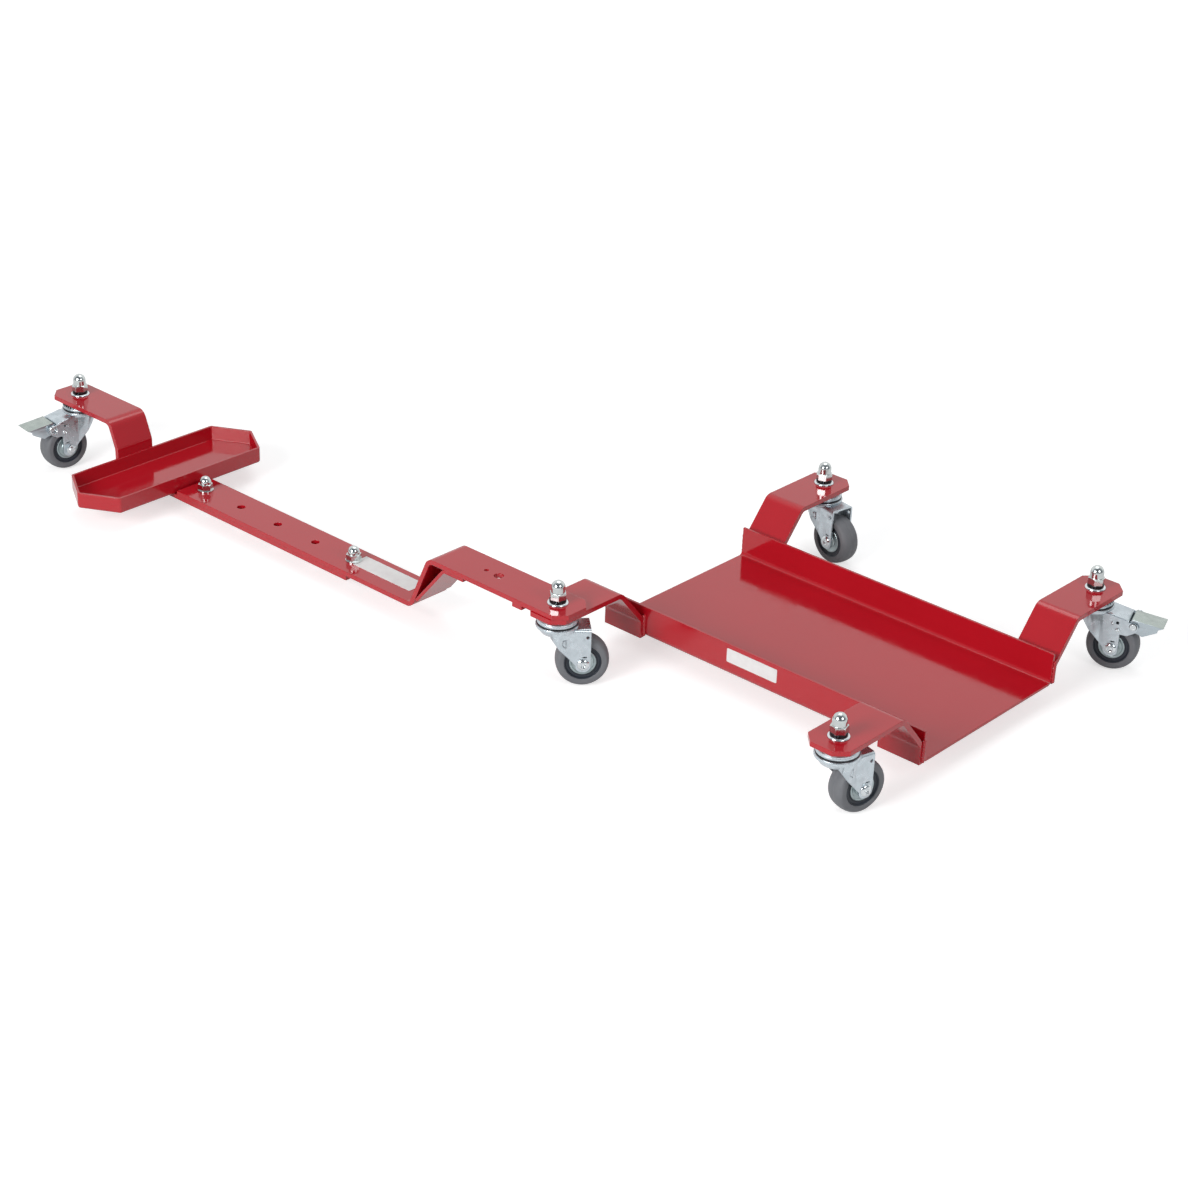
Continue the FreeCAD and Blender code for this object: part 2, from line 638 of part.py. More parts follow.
def make_arm_hardware():
    """Bolts through the arm and the tray bar, with domed nuts."""
    bolts = []
    nuts = []
    low = "(tray_base_z - plate_t - bolt_head_h)"
    shank = "(bolt_head_h + 2 * plate_t + bolt_washer_t + bolt_rise)"
    for name, x in (("outer", "arm_row_x"), ("inner", "(arm_row_x + arm_row_pitch * (arm_row_count - 1))")):
        bolt = new_body(f"arm_bolt_{name}")
        head = outline(bolt, "hexagon", "XY_Plane", hexagon("bolt_head_af"))
        raised(bolt, "head", head, "bolt_head_h")
        section = circles(bolt, "shank_spot", "XY_Plane", [("0", "0", "bolt_r")])
        raised(bolt, "shank", section, shank)
        place(bolt, x, ARM_Y, low)
        bolts.append(bolt)
        nut = make_cap_nut(f"arm_nut_{name}", "bolt_nut_af", "bolt_nut_hex_h", "bolt_nut_dome_r", "bolt_nut_h",
                           "bolt_r + thread_gap", "bolt_washer_t + bolt_rise + 1",
                           ("bolt_washer_r", "bolt_washer_t"))
        place(nut, x, ARM_Y, LOW_FLAT_Z)
        nuts.append(nut)
    return [gathered("arm_bolts", bolts), gathered("arm_cap_nuts", nuts)]


# Casters

def make_heads():
    """Upper race, stem and kingpin of every caster, one solid each."""
    heads = []
    top = "(bracket_top_z - plate_t)"
    race = f"({top} - head_t)"
    fork_base = f"({race} - race_gap - fork_race_t - fork_sheet)"
    rivet = f"({fork_base} - race_gap)"
    for name, x, y, _brake, lift in CASTERS:
        body = new_body(f"head_{name}")
        summit = f"(bracket_top_z + {lift} + washer_t + lock_washer_t + stem_rise)"
        section = outline(body, "section", "XZ_Plane", [
            ("0", f"{rivet} - kingpin_head_t"), ("kingpin_head_r", f"{rivet} - kingpin_head_t"),
            ("kingpin_head_r", rivet), ("kingpin_r", rivet), ("kingpin_r", race), ("head_r", race),
            ("head_r", f"{race} + head_rim_t"), ("head_neck_r", top), ("stem_r", top), ("stem_r", summit), ("0", summit),
        ])
        turned(body, "turning", section, "V_Axis")
        place(body, x, y)
        heads.append(body)
    return gathered("caster_heads", heads)


def slope_z(x):
    """Height of the sloping front edge of the legs at a distance from the stem."""
    return f"({FOOT_TOP} + ({FOOT_FRONT} - {x}) / ({FOOT_FRONT} - fork_wing_tip) * (fork_front_z - {FOOT_TOP}))"


def fork_outline(brake):
    """Side outline of a fork leg, in the plane through stem and axle."""
    axle = AXLE_X
    rear = f"({axle} + fork_rear)"
    points = [(FOOT_FRONT, FOOT_Z), (rear, FOOT_Z)]
    if brake:
        ear_z = "(wheel_r + ear_foot_z)"
        ear_x = f"({axle} + pivot_x + ear_r)"
        ear_top = "(wheel_r + hood_end_z - fork_sheet)"
        hood_x = f"({axle} + hood_end_x)"
        points += [(rear, ear_z), (f"{axle} + pivot_x - ear_r", ear_z), (ear_x, "wheel_r + pivot_z - ear_r"),
                   (ear_x, ear_top), (hood_x, ear_top), (hood_x, "wheel_r + hood_end_z"),
                   ("fork_crown_r", "fork_top_z")]
    else:
        points += [(rear, "fork_top_z")]
    return points + [("fork_fold", "fork_top_z"), ("fork_fold", slope_z("fork_fold")), (FOOT_FRONT, FOOT_TOP)]


def fork_hollow(brake):
    """Side outline of the room between the legs."""
    under = "(fork_top_z - fork_sheet)"
    far = f"({AXLE_X} + pivot_x + 3 * ear_r)"
    near = "(2 * fork_wing_tip)"
    points = [(near, "0"), (far, "0")]
    if brake:
        hood_x = f"({AXLE_X} + hood_end_x)"
        points += [(far, "fork_top_z"), (hood_x, "fork_top_z"), (hood_x, "wheel_r + hood_end_z - fork_sheet"),
                   ("fork_crown_r", under)]
    else:
        points += [(far, under)]
    return points + [(near, under)]


def front_plan(radius, side):
    """Plan of the front of the fork: the crown's curve, running in to the legs."""
    knee_y = f"sqrt({radius} ^ 2 - fork_knee ^ 2)"
    tip_y = f"sqrt({radius} ^ 2 - fork_wing_tip ^ 2)"
    return [("fork_fold", f"-{side}"), ("fork_fold", side), ("fork_knee", knee_y), ("fork_wing_tip", tip_y),
            ("fork_wing_tip", f"-{tip_y}"), ("fork_knee", f"-{knee_y}")]


def add_wings(body):
    """Front part of the legs, swelling out to the crown and cut along its sloping edge."""
    skin = outline(body, "front_skin", "XY_Plane", front_plan("fork_crown_r", "fork_half_width"),
                   arcs={2: "fork_crown_r", 4: "fork_crown_r"})
    raised(body, "front", skin, "fork_top_z - 1")
    inner_r = "(fork_crown_r - fork_sheet)"
    lining = outline(body, "front_lining", "XY_Plane", front_plan(inner_r, "(fork_half_width - fork_sheet)"),
                     arcs={2: inner_r, 4: inner_r})
    cut(body, "front_room", lining, "fork_top_z - fork_sheet", both=False, back=True)
    wedge = outline(body, "front_slope", "XZ_Plane", [
        (FOOT_FRONT, "-1"), (FOOT_FRONT, FOOT_TOP), ("fork_wing_tip", "fork_front_z"),
        ("3 * fork_wing_tip", "fork_front_z"), ("3 * fork_wing_tip", "-1"),
    ])
    cut(body, "slope", wedge, "4 * fork_half_width")


def make_fork(name, x, y, brake):
    """Pressed sheet fork: round crown, front lip and two legs."""
    body = new_body(f"{name}_fork")
    width = "(2 * fork_half_width)"
    inner = "(2 * (fork_half_width - fork_sheet))"
    legs = raised(body, "legs", outline(body, "side", "XZ_Plane", fork_outline(brake)), width, both=True)
    feet = edges_at(legs, (f"{AXLE_X} + fork_rear", None, FOOT_Z), (FOOT_FRONT, None, FOOT_Z))
    feet = rounded(body, "feet", legs, feet, FOOT_ROUND)
    shoulders = edges_over(feet, "fork_half_width", "wheel_r + hood_end_z - fork_sheet / 2")
    rounded(body, "shoulders", feet, shoulders, "fork_bend_r" if brake else "fork_bend_r + fork_sheet")
    cut(body, "room", outline(body, "hollow", "XZ_Plane", fork_hollow(brake)), inner)
    add_wings(body)
    crown = outline(body, "crown_section", "XZ_Plane", [
        ("0", "fork_top_z - fork_sheet"), ("fork_crown_r", "fork_top_z - fork_sheet"),
        ("fork_crown_r", "fork_top_z"), ("fork_race_r", "fork_top_z + fork_race_t"),
        ("0", "fork_top_z + fork_race_t"),
    ])
    turned(body, "crown", crown, "V_Axis")
    lip = outline(body, "lip_section", "XZ_Plane", [
        ("-fork_crown_r", "fork_skirt_z"), ("fork_sheet - fork_crown_r", "fork_skirt_z"),
        ("fork_sheet - fork_crown_r", "fork_top_z - 1"), ("-fork_crown_r", "fork_top_z - 1"),
    ])
    skirt = body.newObject("PartDesign::Revolution", f"{body.Label}_lip")
    skirt.Profile = lip
    skirt.ReferenceAxis = (lip, ["V_Axis"])
    skirt.Midplane = True
    skirt.setExpression("Angle", bound("2 * acos(-fork_wing_tip / fork_crown_r) + 1 deg"))
    doc.recompute()
    pin_hole = circles(body, "kingpin_spot", "XY_Plane", [("0", "0", "kingpin_r + pin_gap")])
    cut(body, "kingpin_hole", pin_hole, "3 * fork_top_z")
    spots = [(AXLE_X, "wheel_r", "axle_r + thread_gap"),
             (f"{AXLE_X} + fork_rear - 2 * fork_hole_r", "fork_top_z - 5 * fork_hole_r", "fork_hole_r")]
    if brake:
        spots.append((f"{AXLE_X} + pivot_x", "wheel_r + pivot_z", "pivot_r"))
    cut(body, "leg_holes", circles(body, "leg_spots", "XZ_Plane", spots), f"2 * {width}")
    place(body, x, y, "0", f"heading_{name}")
    return body


def at_axle(x, y, name):
    """Place of the axle of a caster."""
    heading = f"heading_{name}"
    return (f"{x} + caster_trail * cos({heading})", f"{y} + caster_trail * sin({heading})")


def make_axle(name, x, y):
    """Bolt and nut through the fork and the wheel."""
    body = new_body(f"{name}_axle_bolt")
    shaft = circles(body, "shaft_spot", "XZ_Plane", [("0", "0", "axle_r")])
    raised(body, "shaft", shaft, "2 * fork_half_width + 2 * axle_head_t - 1", both=True)
    for end, lift, back in (("head", "fork_half_width", False), ("nut", "-fork_half_width", True)):
        plan = outline(body, f"{end}_plan", "XZ_Plane", hexagon("axle_head_af"), lift=lift)
        raised(body, end, plan, "axle_head_t", back=back)
    place(body, *at_axle(x, y, name), "wheel_r", f"heading_{name}")
    return body


def make_wheel(name, x, y):
    """Tyre, core and hub of a wheel, turned about their axle."""
    spot = (*at_axle(x, y, name), "wheel_r", f"heading_{name}")
    tyre = new_body(f"{name}_tyre")
    section = outline(tyre, "section", "XY_Plane", [
        ("rim_r", "-tread_width / 2"), ("shoulder_r", "-tread_width / 2"), ("shoulder_r", "tread_width / 2"),
        ("rim_r", "tread_width / 2"),
    ], arcs={1: TREAD_CURVE})
    turned(tyre, "tread", section, "V_Axis")
    rim = new_body(f"{name}_rim")
    section = outline(rim, "section", "XY_Plane", [
        ("hub_r", "-rim_width / 2"), ("rim_r", "-rim_width / 2"), ("rim_r", "rim_width / 2"),
        ("hub_r", "rim_width / 2"),
    ])
    turned(rim, "core", section, "V_Axis")
    hub = new_body(f"{name}_hub")
    bore = "(axle_r + pin_gap)"
    section = outline(hub, "section", "XY_Plane", [
        (bore, "-hub_width / 2"), ("hub_nose_r", "-hub_width / 2"), ("hub_nose_r", "-hub_disc_width / 2"),
        ("hub_r", "-hub_disc_width / 2"), ("hub_r", "hub_disc_width / 2"), ("hub_nose_r", "hub_disc_width / 2"),
        ("hub_nose_r", "hub_width / 2"), (bore, "hub_width / 2"),
    ])
    turned(hub, "disc", section, "V_Axis")
    for body in (tyre, rim, hub):
        place(body, *spot)
    return [tyre, rim, hub]


# Brakes

def pedal_outline():
    """Side outline of the pedal about its pivot."""
    line = "atan(pivot_z / pivot_x)"
    shoe = (f"-shoe_radius * cos({line} + shoe_rest * 1 deg)", f"-shoe_radius * sin({line} + shoe_rest * 1 deg)")
    cheek_end = "(pedal_toe_x - pedal_toe_cut)"
    return [
        shoe, ("pedal_heel_x", "pedal_heel_z"), ("pedal_belly_x", "pedal_belly_z"),
        (f"{cheek_end} - pedal_sheet / 2", "pedal_cheek_z"), (cheek_end, "pedal_toe_z - pedal_toe_cut / 2"),
        ("pedal_toe_x", "pedal_toe_z"), ("pedal_back_x", "pedal_back_z"), ("-pedal_heel_x", "pedal_toe_z"),
        ("-pedal_heel_x", "pedal_neck_z"),
    ]


def make_pedal(name, x, y):
    """Channel pedal with a shoe that presses on the tyre."""
    body = new_body(f"{name}_brake_pedal")
    side = outline(body, "side", "XZ_Plane", pedal_outline())
    raised(body, "block", side, "2 * pedal_half_width", both=True)
    back = "(pedal_back_x - pedal_sheet / 6)"
    far = "(2 * pedal_toe_x)"
    below = "(3 * pedal_heel_z)"
    room = outline(body, "room", "XZ_Plane", [
        (back, below), (far, below), (far, f"pedal_back_z - pedal_sheet - {PEDAL_FALL} * ({far} - {back})"),
        (back, "pedal_back_z - pedal_sheet"),
    ])
    cut(body, "hollow", room, "2 * (pedal_half_width - pedal_sheet)")
    hole = circles(body, "pin_spot", "XZ_Plane", [("0", "0", "pivot_r + pin_gap")])
    cut(body, "pin_hole", hole, "4 * pedal_half_width")
    place_at_pivot(body, name, x, y)
    return body


def place_at_pivot(body, name, x, y):
    """Stand a piece at the pedal pivot of a caster."""
    heading = f"heading_{name}"
    place(body, f"{x} + (caster_trail + pivot_x) * cos({heading})",
          f"{y} + (caster_trail + pivot_x) * sin({heading})", "wheel_r + pivot_z", heading)


def make_pedal_pin(name, x, y):
    """Riveted pin through the fork ears and the pedal."""
    body = new_body(f"{name}_pedal_pin")
    length = "(fork_half_width + pivot_head_t)"
    section = outline(body, "section", "XY_Plane", [
        ("0", f"-{length}"), ("pivot_head_r", f"-{length}"), ("pivot_head_r", "-fork_half_width"),
        ("pivot_r", "-fork_half_width"), ("pivot_r", "fork_half_width"), ("pivot_head_r", "fork_half_width"),
        ("pivot_head_r", length), ("0", length),
    ])
    turned(body, "pin", section, "V_Axis")
    place_at_pivot(body, name, x, y)
    return body


def make_casters():
    """Forks, axles, wheels and brakes."""
    pieces = []
    for name, x, y, brake, _lift in CASTERS:
        pieces.append(make_fork(name, x, y, brake))
        pieces.append(make_axle(name, x, y))
        pieces += make_wheel(name, x, y)
        if brake:
            pieces.append(make_pedal(name, x, y))
            pieces.append(make_pedal_pin(name, x, y))
    return pieces


# All pieces

def export(pieces):
    """Check every piece and write it to its own file."""
    os.makedirs("parts", exist_ok=True)
    faulty = [item.Label for item in doc.Objects if "Invalid" in item.State or "Error" in item.State]
    if faulty:
        raise RuntimeError(f"not built: {faulty}")
    whole = FreeCAD.BoundBox()
    for piece in pieces:
        shape = piece.Shape
        if shape.isNull() or not shape.isValid():
            raise RuntimeError(f"bad shape: {piece.Label}")
        whole.add(shape.BoundBox)
        shape.exportStep(os.path.join("parts", f"{piece.Label}.step"))
    print("box", [round(value, 3) for value in (whole.XMin, whole.XMax, whole.YMin, whole.YMax,
                                                whole.ZMin, whole.ZMax)])


fill_sheet()
made = [make_deck(), *make_brackets(), make_arm_bar(), make_tray_bar(), make_brace(), make_lug(), make_tray()]
made += make_stem_hardware()
made += make_arm_hardware()
made.append(make_heads())
made += make_casters()
doc.recompute()
export(made)
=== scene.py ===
"""Motorcycle dolly: the looks of its deck, arm, side stand tray and five swivel casters."""

import logging
import math
from dataclasses import dataclass
from enum import Enum
from typing import Any, Callable, Iterable, Sequence

import bpy
from mathutils import Matrix, Vector

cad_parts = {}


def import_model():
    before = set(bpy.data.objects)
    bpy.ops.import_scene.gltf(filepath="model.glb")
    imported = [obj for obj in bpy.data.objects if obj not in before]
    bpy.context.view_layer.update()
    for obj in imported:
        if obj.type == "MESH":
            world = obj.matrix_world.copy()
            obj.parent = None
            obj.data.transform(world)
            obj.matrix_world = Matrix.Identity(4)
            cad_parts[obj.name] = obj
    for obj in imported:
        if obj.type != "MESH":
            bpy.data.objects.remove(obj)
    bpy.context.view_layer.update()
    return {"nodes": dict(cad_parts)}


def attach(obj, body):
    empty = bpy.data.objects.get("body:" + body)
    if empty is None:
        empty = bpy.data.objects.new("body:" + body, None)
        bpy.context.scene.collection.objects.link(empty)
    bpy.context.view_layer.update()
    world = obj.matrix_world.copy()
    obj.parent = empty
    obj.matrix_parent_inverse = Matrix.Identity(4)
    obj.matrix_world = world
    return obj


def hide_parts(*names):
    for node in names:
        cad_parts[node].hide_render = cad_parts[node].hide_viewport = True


LOG = logging.getLogger("dolly")
MM = 0.001
MERGE = 0.005 * MM
FLAT_ANGLE = math.radians(0.6)

# The model's zero point, counted from the front left stem and the deck's middle line.
CENTRE = Vector((-206.8815, -51.1945, 0.0))


def spot(x: float, y: float, z: float) -> Vector:
    """Place a point given in millimetres from the front left stem and the deck's middle line.

    Args:
        x: Along the arm and deck.
        y: Across the deck.
        z: Above the floor.

    Returns:
        The point in metres in the model's own axes.
    """
    return (Vector((x, y, z)) - CENTRE) * MM


class Axis(Enum):
    """Direction that a turned piece stands along."""

    UP = 0.0
    LATERAL = -90.0

    def turn(self) -> Matrix:
        """Rotation from the vertical to this direction."""
        return Matrix.Rotation(math.radians(self.value), 4, "X")


class Pick(Enum):
    """Parts of a mesh that are chosen in edit mode."""

    POINTS = "VERT"
    LINES = "EDGE"


class Shader:
    """One node material under construction."""

    def __init__(self, name: str) -> None:
        """Start an empty material with an output and a principled shader.

        Args:
            name: Name of the material.
        """
        self.material = bpy.data.materials.new(name)
        self.material.use_nodes = True
        self.tree = self.material.node_tree
        self.tree.nodes.clear()
        self.output = self.tree.nodes.new("ShaderNodeOutputMaterial")
        self.surface = self.node("ShaderNodeBsdfPrincipled")
        self.link(self.surface, "BSDF", self.output, "Surface")

    def node(self, kind: str, settings: dict[str, Any] | None = None, **sockets: Any) -> bpy.types.Node:
        """Add a node.

        Args:
            kind: Type name of the node.
            settings: Properties of the node.
            **sockets: Input values by socket name, with underscores for blanks.

        Returns:
            The new node.
        """
        made = self.tree.nodes.new(kind)
        for key, value in (settings or {}).items():
            setattr(made, key, value)
        for key, value in sockets.items():
            made.inputs[key.replace("_", " ")].default_value = value
        return made

    def link(self, source: bpy.types.Node, out: str | int, target: bpy.types.Node, into: str | int) -> None:
        """Join two sockets."""
        self.tree.links.new(source.outputs[out], target.inputs[into])

    def place(self, scale: float = 1.0) -> bpy.types.Node:
        """Object coordinates, scaled.

        Args:
            scale: Scale of the pattern.

        Returns:
            The mapping node.
        """
        where = self.node("ShaderNodeTexCoord")
        mapping = self.node("ShaderNodeMapping", Scale=(scale, scale, scale))
        self.link(where, "Object", mapping, "Vector")
        return mapping

    def noise(self, scale: float, detail: float = 3.0, place: bpy.types.Node | None = None) -> bpy.types.Node:
        """Cloudy pattern in object coordinates.

        Args:
            scale: Cells per metre.
            detail: Octaves.
            place: Mapping that the pattern follows.

        Returns:
            The noise node.
        """
        cloud = self.node("ShaderNodeTexNoise", Scale=scale, Detail=detail, Roughness=0.55)
        self.link(place or self.place(), "Vector", cloud, "Vector")
        return cloud

    def spread(self, source: bpy.types.Node, out: str | int, low: float, high: float,
               start: float = 0.3, end: float = 0.7) -> bpy.types.Node:
        """Map a pattern onto a range of values.

        Args:
            source: Node that gives the pattern.
            out: Its socket.
            low: Value at the pattern's start.
            high: Value at the pattern's end.
            start: Pattern value that gives low.
            end: Pattern value that gives high.

        Returns:
            The range node.
        """
        span = self.node("ShaderNodeMapRange")
        for key, value in (("From Min", start), ("From Max", end), ("To Min", low), ("To Max", high)):
            span.inputs[key].default_value = value
        self.link(source, out, span, "Value")
        return span

    def blend(self, factor: bpy.types.Node, out: str | int, first: Sequence[float],
              second: Sequence[float]) -> bpy.types.Node:
        """Mix two colours by a pattern.

        Args:
            factor: Node that gives the share of the second colour.
            out: Its socket.
            first: Colour at zero.
            second: Colour at one.

        Returns:
            The mix node, whose colour is on socket 2.
        """
        mix = self.node("ShaderNodeMix", {"data_type": "RGBA"})
        mix.inputs[6].default_value = (*first, 1.0)
        mix.inputs[7].default_value = (*second, 1.0)
        self.link(factor, out, mix, 0)
        return mix

    def relief(self, pattern: bpy.types.Node, out: str | int, depth: float, strength: float,
               edge: float = 0.0) -> None:
        """Raise the surface by a pattern and ease its sharp edges.

        Args:
            pattern: Node that gives the height.
            out: Its socket.
            depth: Height in metres.
            strength: Share of the effect.
            edge: Radius of the eased edges in metres.
        """
        bump = self.node("ShaderNodeBump", Strength=strength, Distance=depth)
        self.link(pattern, out, bump, "Height")
        if edge:
            eased = self.node("ShaderNodeBevel", {"samples": 6}, Radius=edge)
            self.link(eased, "Normal", bump, "Normal")
        self.link(bump, "Normal", self.surface, "Normal")


@dataclass(frozen=True)
class PowderCoat:
    """Glossy red powder coat with a little orange peel."""

    name: str = "red_powder_coat"
    colour: tuple[float, float, float] = (0.46, 0.0062, 0.0155)
    deep: tuple[float, float, float] = (0.40, 0.0048, 0.0118)
    roughness: float = 0.085
    edge: float = 0.0010

    def make(self) -> bpy.types.Material:
        """Build the material.

        Returns:
            The finished material.
        """
        work = Shader(self.name)
        broad = work.noise(9.0, 2.0)
        colour = work.blend(work.spread(broad, "Fac", 0.0, 0.45), "Result", self.colour, self.deep)
        work.link(colour, 2, work.surface, "Base Color")
        haze = work.noise(60.0, 3.0)
        gloss = work.spread(haze, "Fac", self.roughness * 0.8, self.roughness * 1.7)
        work.link(gloss, "Result", work.surface, "Roughness")
        peel = work.noise(420.0, 2.0)
        work.relief(peel, "Fac", 0.00012, 0.12, self.edge)
        work.surface.inputs["IOR"].default_value = 1.58
        return work.material


@dataclass(frozen=True)
class Plating:
    """Zinc, chrome or bare steel, with an optional painted reflection that tints tops and steep sides differently."""

    name: str
    colour: tuple[float, float, float]
    shade: tuple[float, float, float]
    roughness: float
    grain: float = 140.0
    depth: float = 0.00006
    edge: float = 0.0006
    metallic: float = 1.0
    # Colour of steep faces; tops keep the main colour. The difference paints reflections of light from above and from
    # the side.
    side: tuple[float, float, float] | None = None

    def make(self) -> bpy.types.Material:
        """Build the material.

        Returns:
            The finished material.
        """
        work = Shader(self.name)
        bloom = work.noise(self.grain, 4.0)
        colour = work.blend(work.spread(bloom, "Fac", 0.0, 1.0), "Result", self.colour, self.shade)
        # Painted reflection: faces that look up keep the main colour, steep faces shift to the side colour.
        if self.side:
            split = work.node("ShaderNodeSeparateXYZ")
            work.link(work.node("ShaderNodeNewGeometry"), "Normal", split, "Vector")
            top = work.spread(split, "Z", 0.0, 1.0, 0.3, 0.6)
            flat, colour = colour, work.blend(top, "Result", self.side, self.colour)
            work.link(flat, 2, colour, 7)
        work.link(colour, 2, work.surface, "Base Color")
        gloss = work.spread(bloom, "Fac", self.roughness * 0.75, self.roughness * 1.35)
        work.link(gloss, "Result", work.surface, "Roughness")
        fine = work.noise(900.0, 2.0)
        work.relief(fine, "Fac", self.depth, 0.25, self.edge)
        work.surface.inputs["Metallic"].default_value = self.metallic
        return work.material


@dataclass(frozen=True)
class Moulding:
    """Rubber or plastic with scuffs and a fine grain."""

    name: str
    colour: tuple[float, float, float]
    scuff: tuple[float, float, float]
    roughness: float
    grain: float = 700.0
    depth: float = 0.00010
    edge: float = 0.0008

    def make(self) -> bpy.types.Material:
        """Build the material.

        Returns:
            The finished material.
        """
        work = Shader(self.name)
        wear = work.noise(55.0, 5.0)
        colour = work.blend(work.spread(wear, "Fac", 0.0, 0.6, 0.4, 0.75), "Result", self.colour, self.scuff)
        work.link(colour, 2, work.surface, "Base Color")
        gloss = work.spread(wear, "Fac", self.roughness * 0.85, min(1.0, self.roughness * 1.2))
        work.link(gloss, "Result", work.surface, "Roughness")
        fine = work.noise(self.grain, 3.0)
        work.relief(fine, "Fac", self.depth, 0.3, self.edge)
        return work.material


@dataclass(frozen=True)
class Label:
    """Blank printed film."""

    name: str = "blank_label_film"
    colour: tuple[float, float, float] = (0.80, 0.79, 0.78)
    tint: tuple[float, float, float] = (0.70, 0.66, 0.66)

    def make(self) -> bpy.types.Material:
        """Build the material.

        Returns:
            The finished material.
        """
        work = Shader(self.name)
        cloud = work.noise(90.0, 3.0)
        colour = work.blend(work.spread(cloud, "Fac", 0.0, 0.6), "Result", self.colour, self.tint)
        work.link(colour, 2, work.surface, "Base Color")
        work.relief(cloud, "Fac", 0.0001, 0.2)
        work.surface.inputs["Roughness"].default_value = 0.35
        return work.material


class Finishes:
    """Every finish of the dolly, built once."""

    def __init__(self) -> None:
        """Build the materials."""
        self.red = PowderCoat().make()
        self.zinc = Plating("zinc_plate", (0.62, 0.69, 0.735), (0.53, 0.59, 0.63), 0.29, metallic=0.9).make()
        # The pedal's greener tops and bluer sides are painted reflections of light from above and from the side.
        self.pedal = Plating("pedal_zinc", (0.46, 0.52, 0.49), (0.38, 0.43, 0.41), 0.30,
                             side=(0.50, 0.57, 0.61)).make()
        self.bright = Plating("bright_bolt_steel", (0.74, 0.79, 0.81), (0.64, 0.68, 0.70), 0.17).make()
        self.chrome = Plating("nut_chrome", (0.62, 0.66, 0.655), (0.56, 0.59, 0.59), 0.11, depth=0.00002).make()
        # Black steel finish; on the split washers and the ring between the races its black is painted shade.
        self.spring = Plating("black_steel_and_painted_shade", (0.05, 0.05, 0.055), (0.03, 0.03, 0.033), 0.35).make()
        self.tread = Moulding("grey_tread_rubber", (0.145, 0.150, 0.163), (0.19, 0.195, 0.205), 0.55).make()
        self.core = Moulding("dark_core_plastic", (0.012, 0.018, 0.028), (0.03, 0.035, 0.05), 0.4).make()
        self.hub = Plating("hub_shield", (0.44, 0.52, 0.53), (0.36, 0.43, 0.44), 0.34, metallic=0.75).make()
        self.label = Label().make()


@dataclass(frozen=True)
class Lamp:
    """Square lamp that faces the dolly, placed from the target in metres."""

    name: str
    place: tuple[float, float, float]
    size: float
    power: float


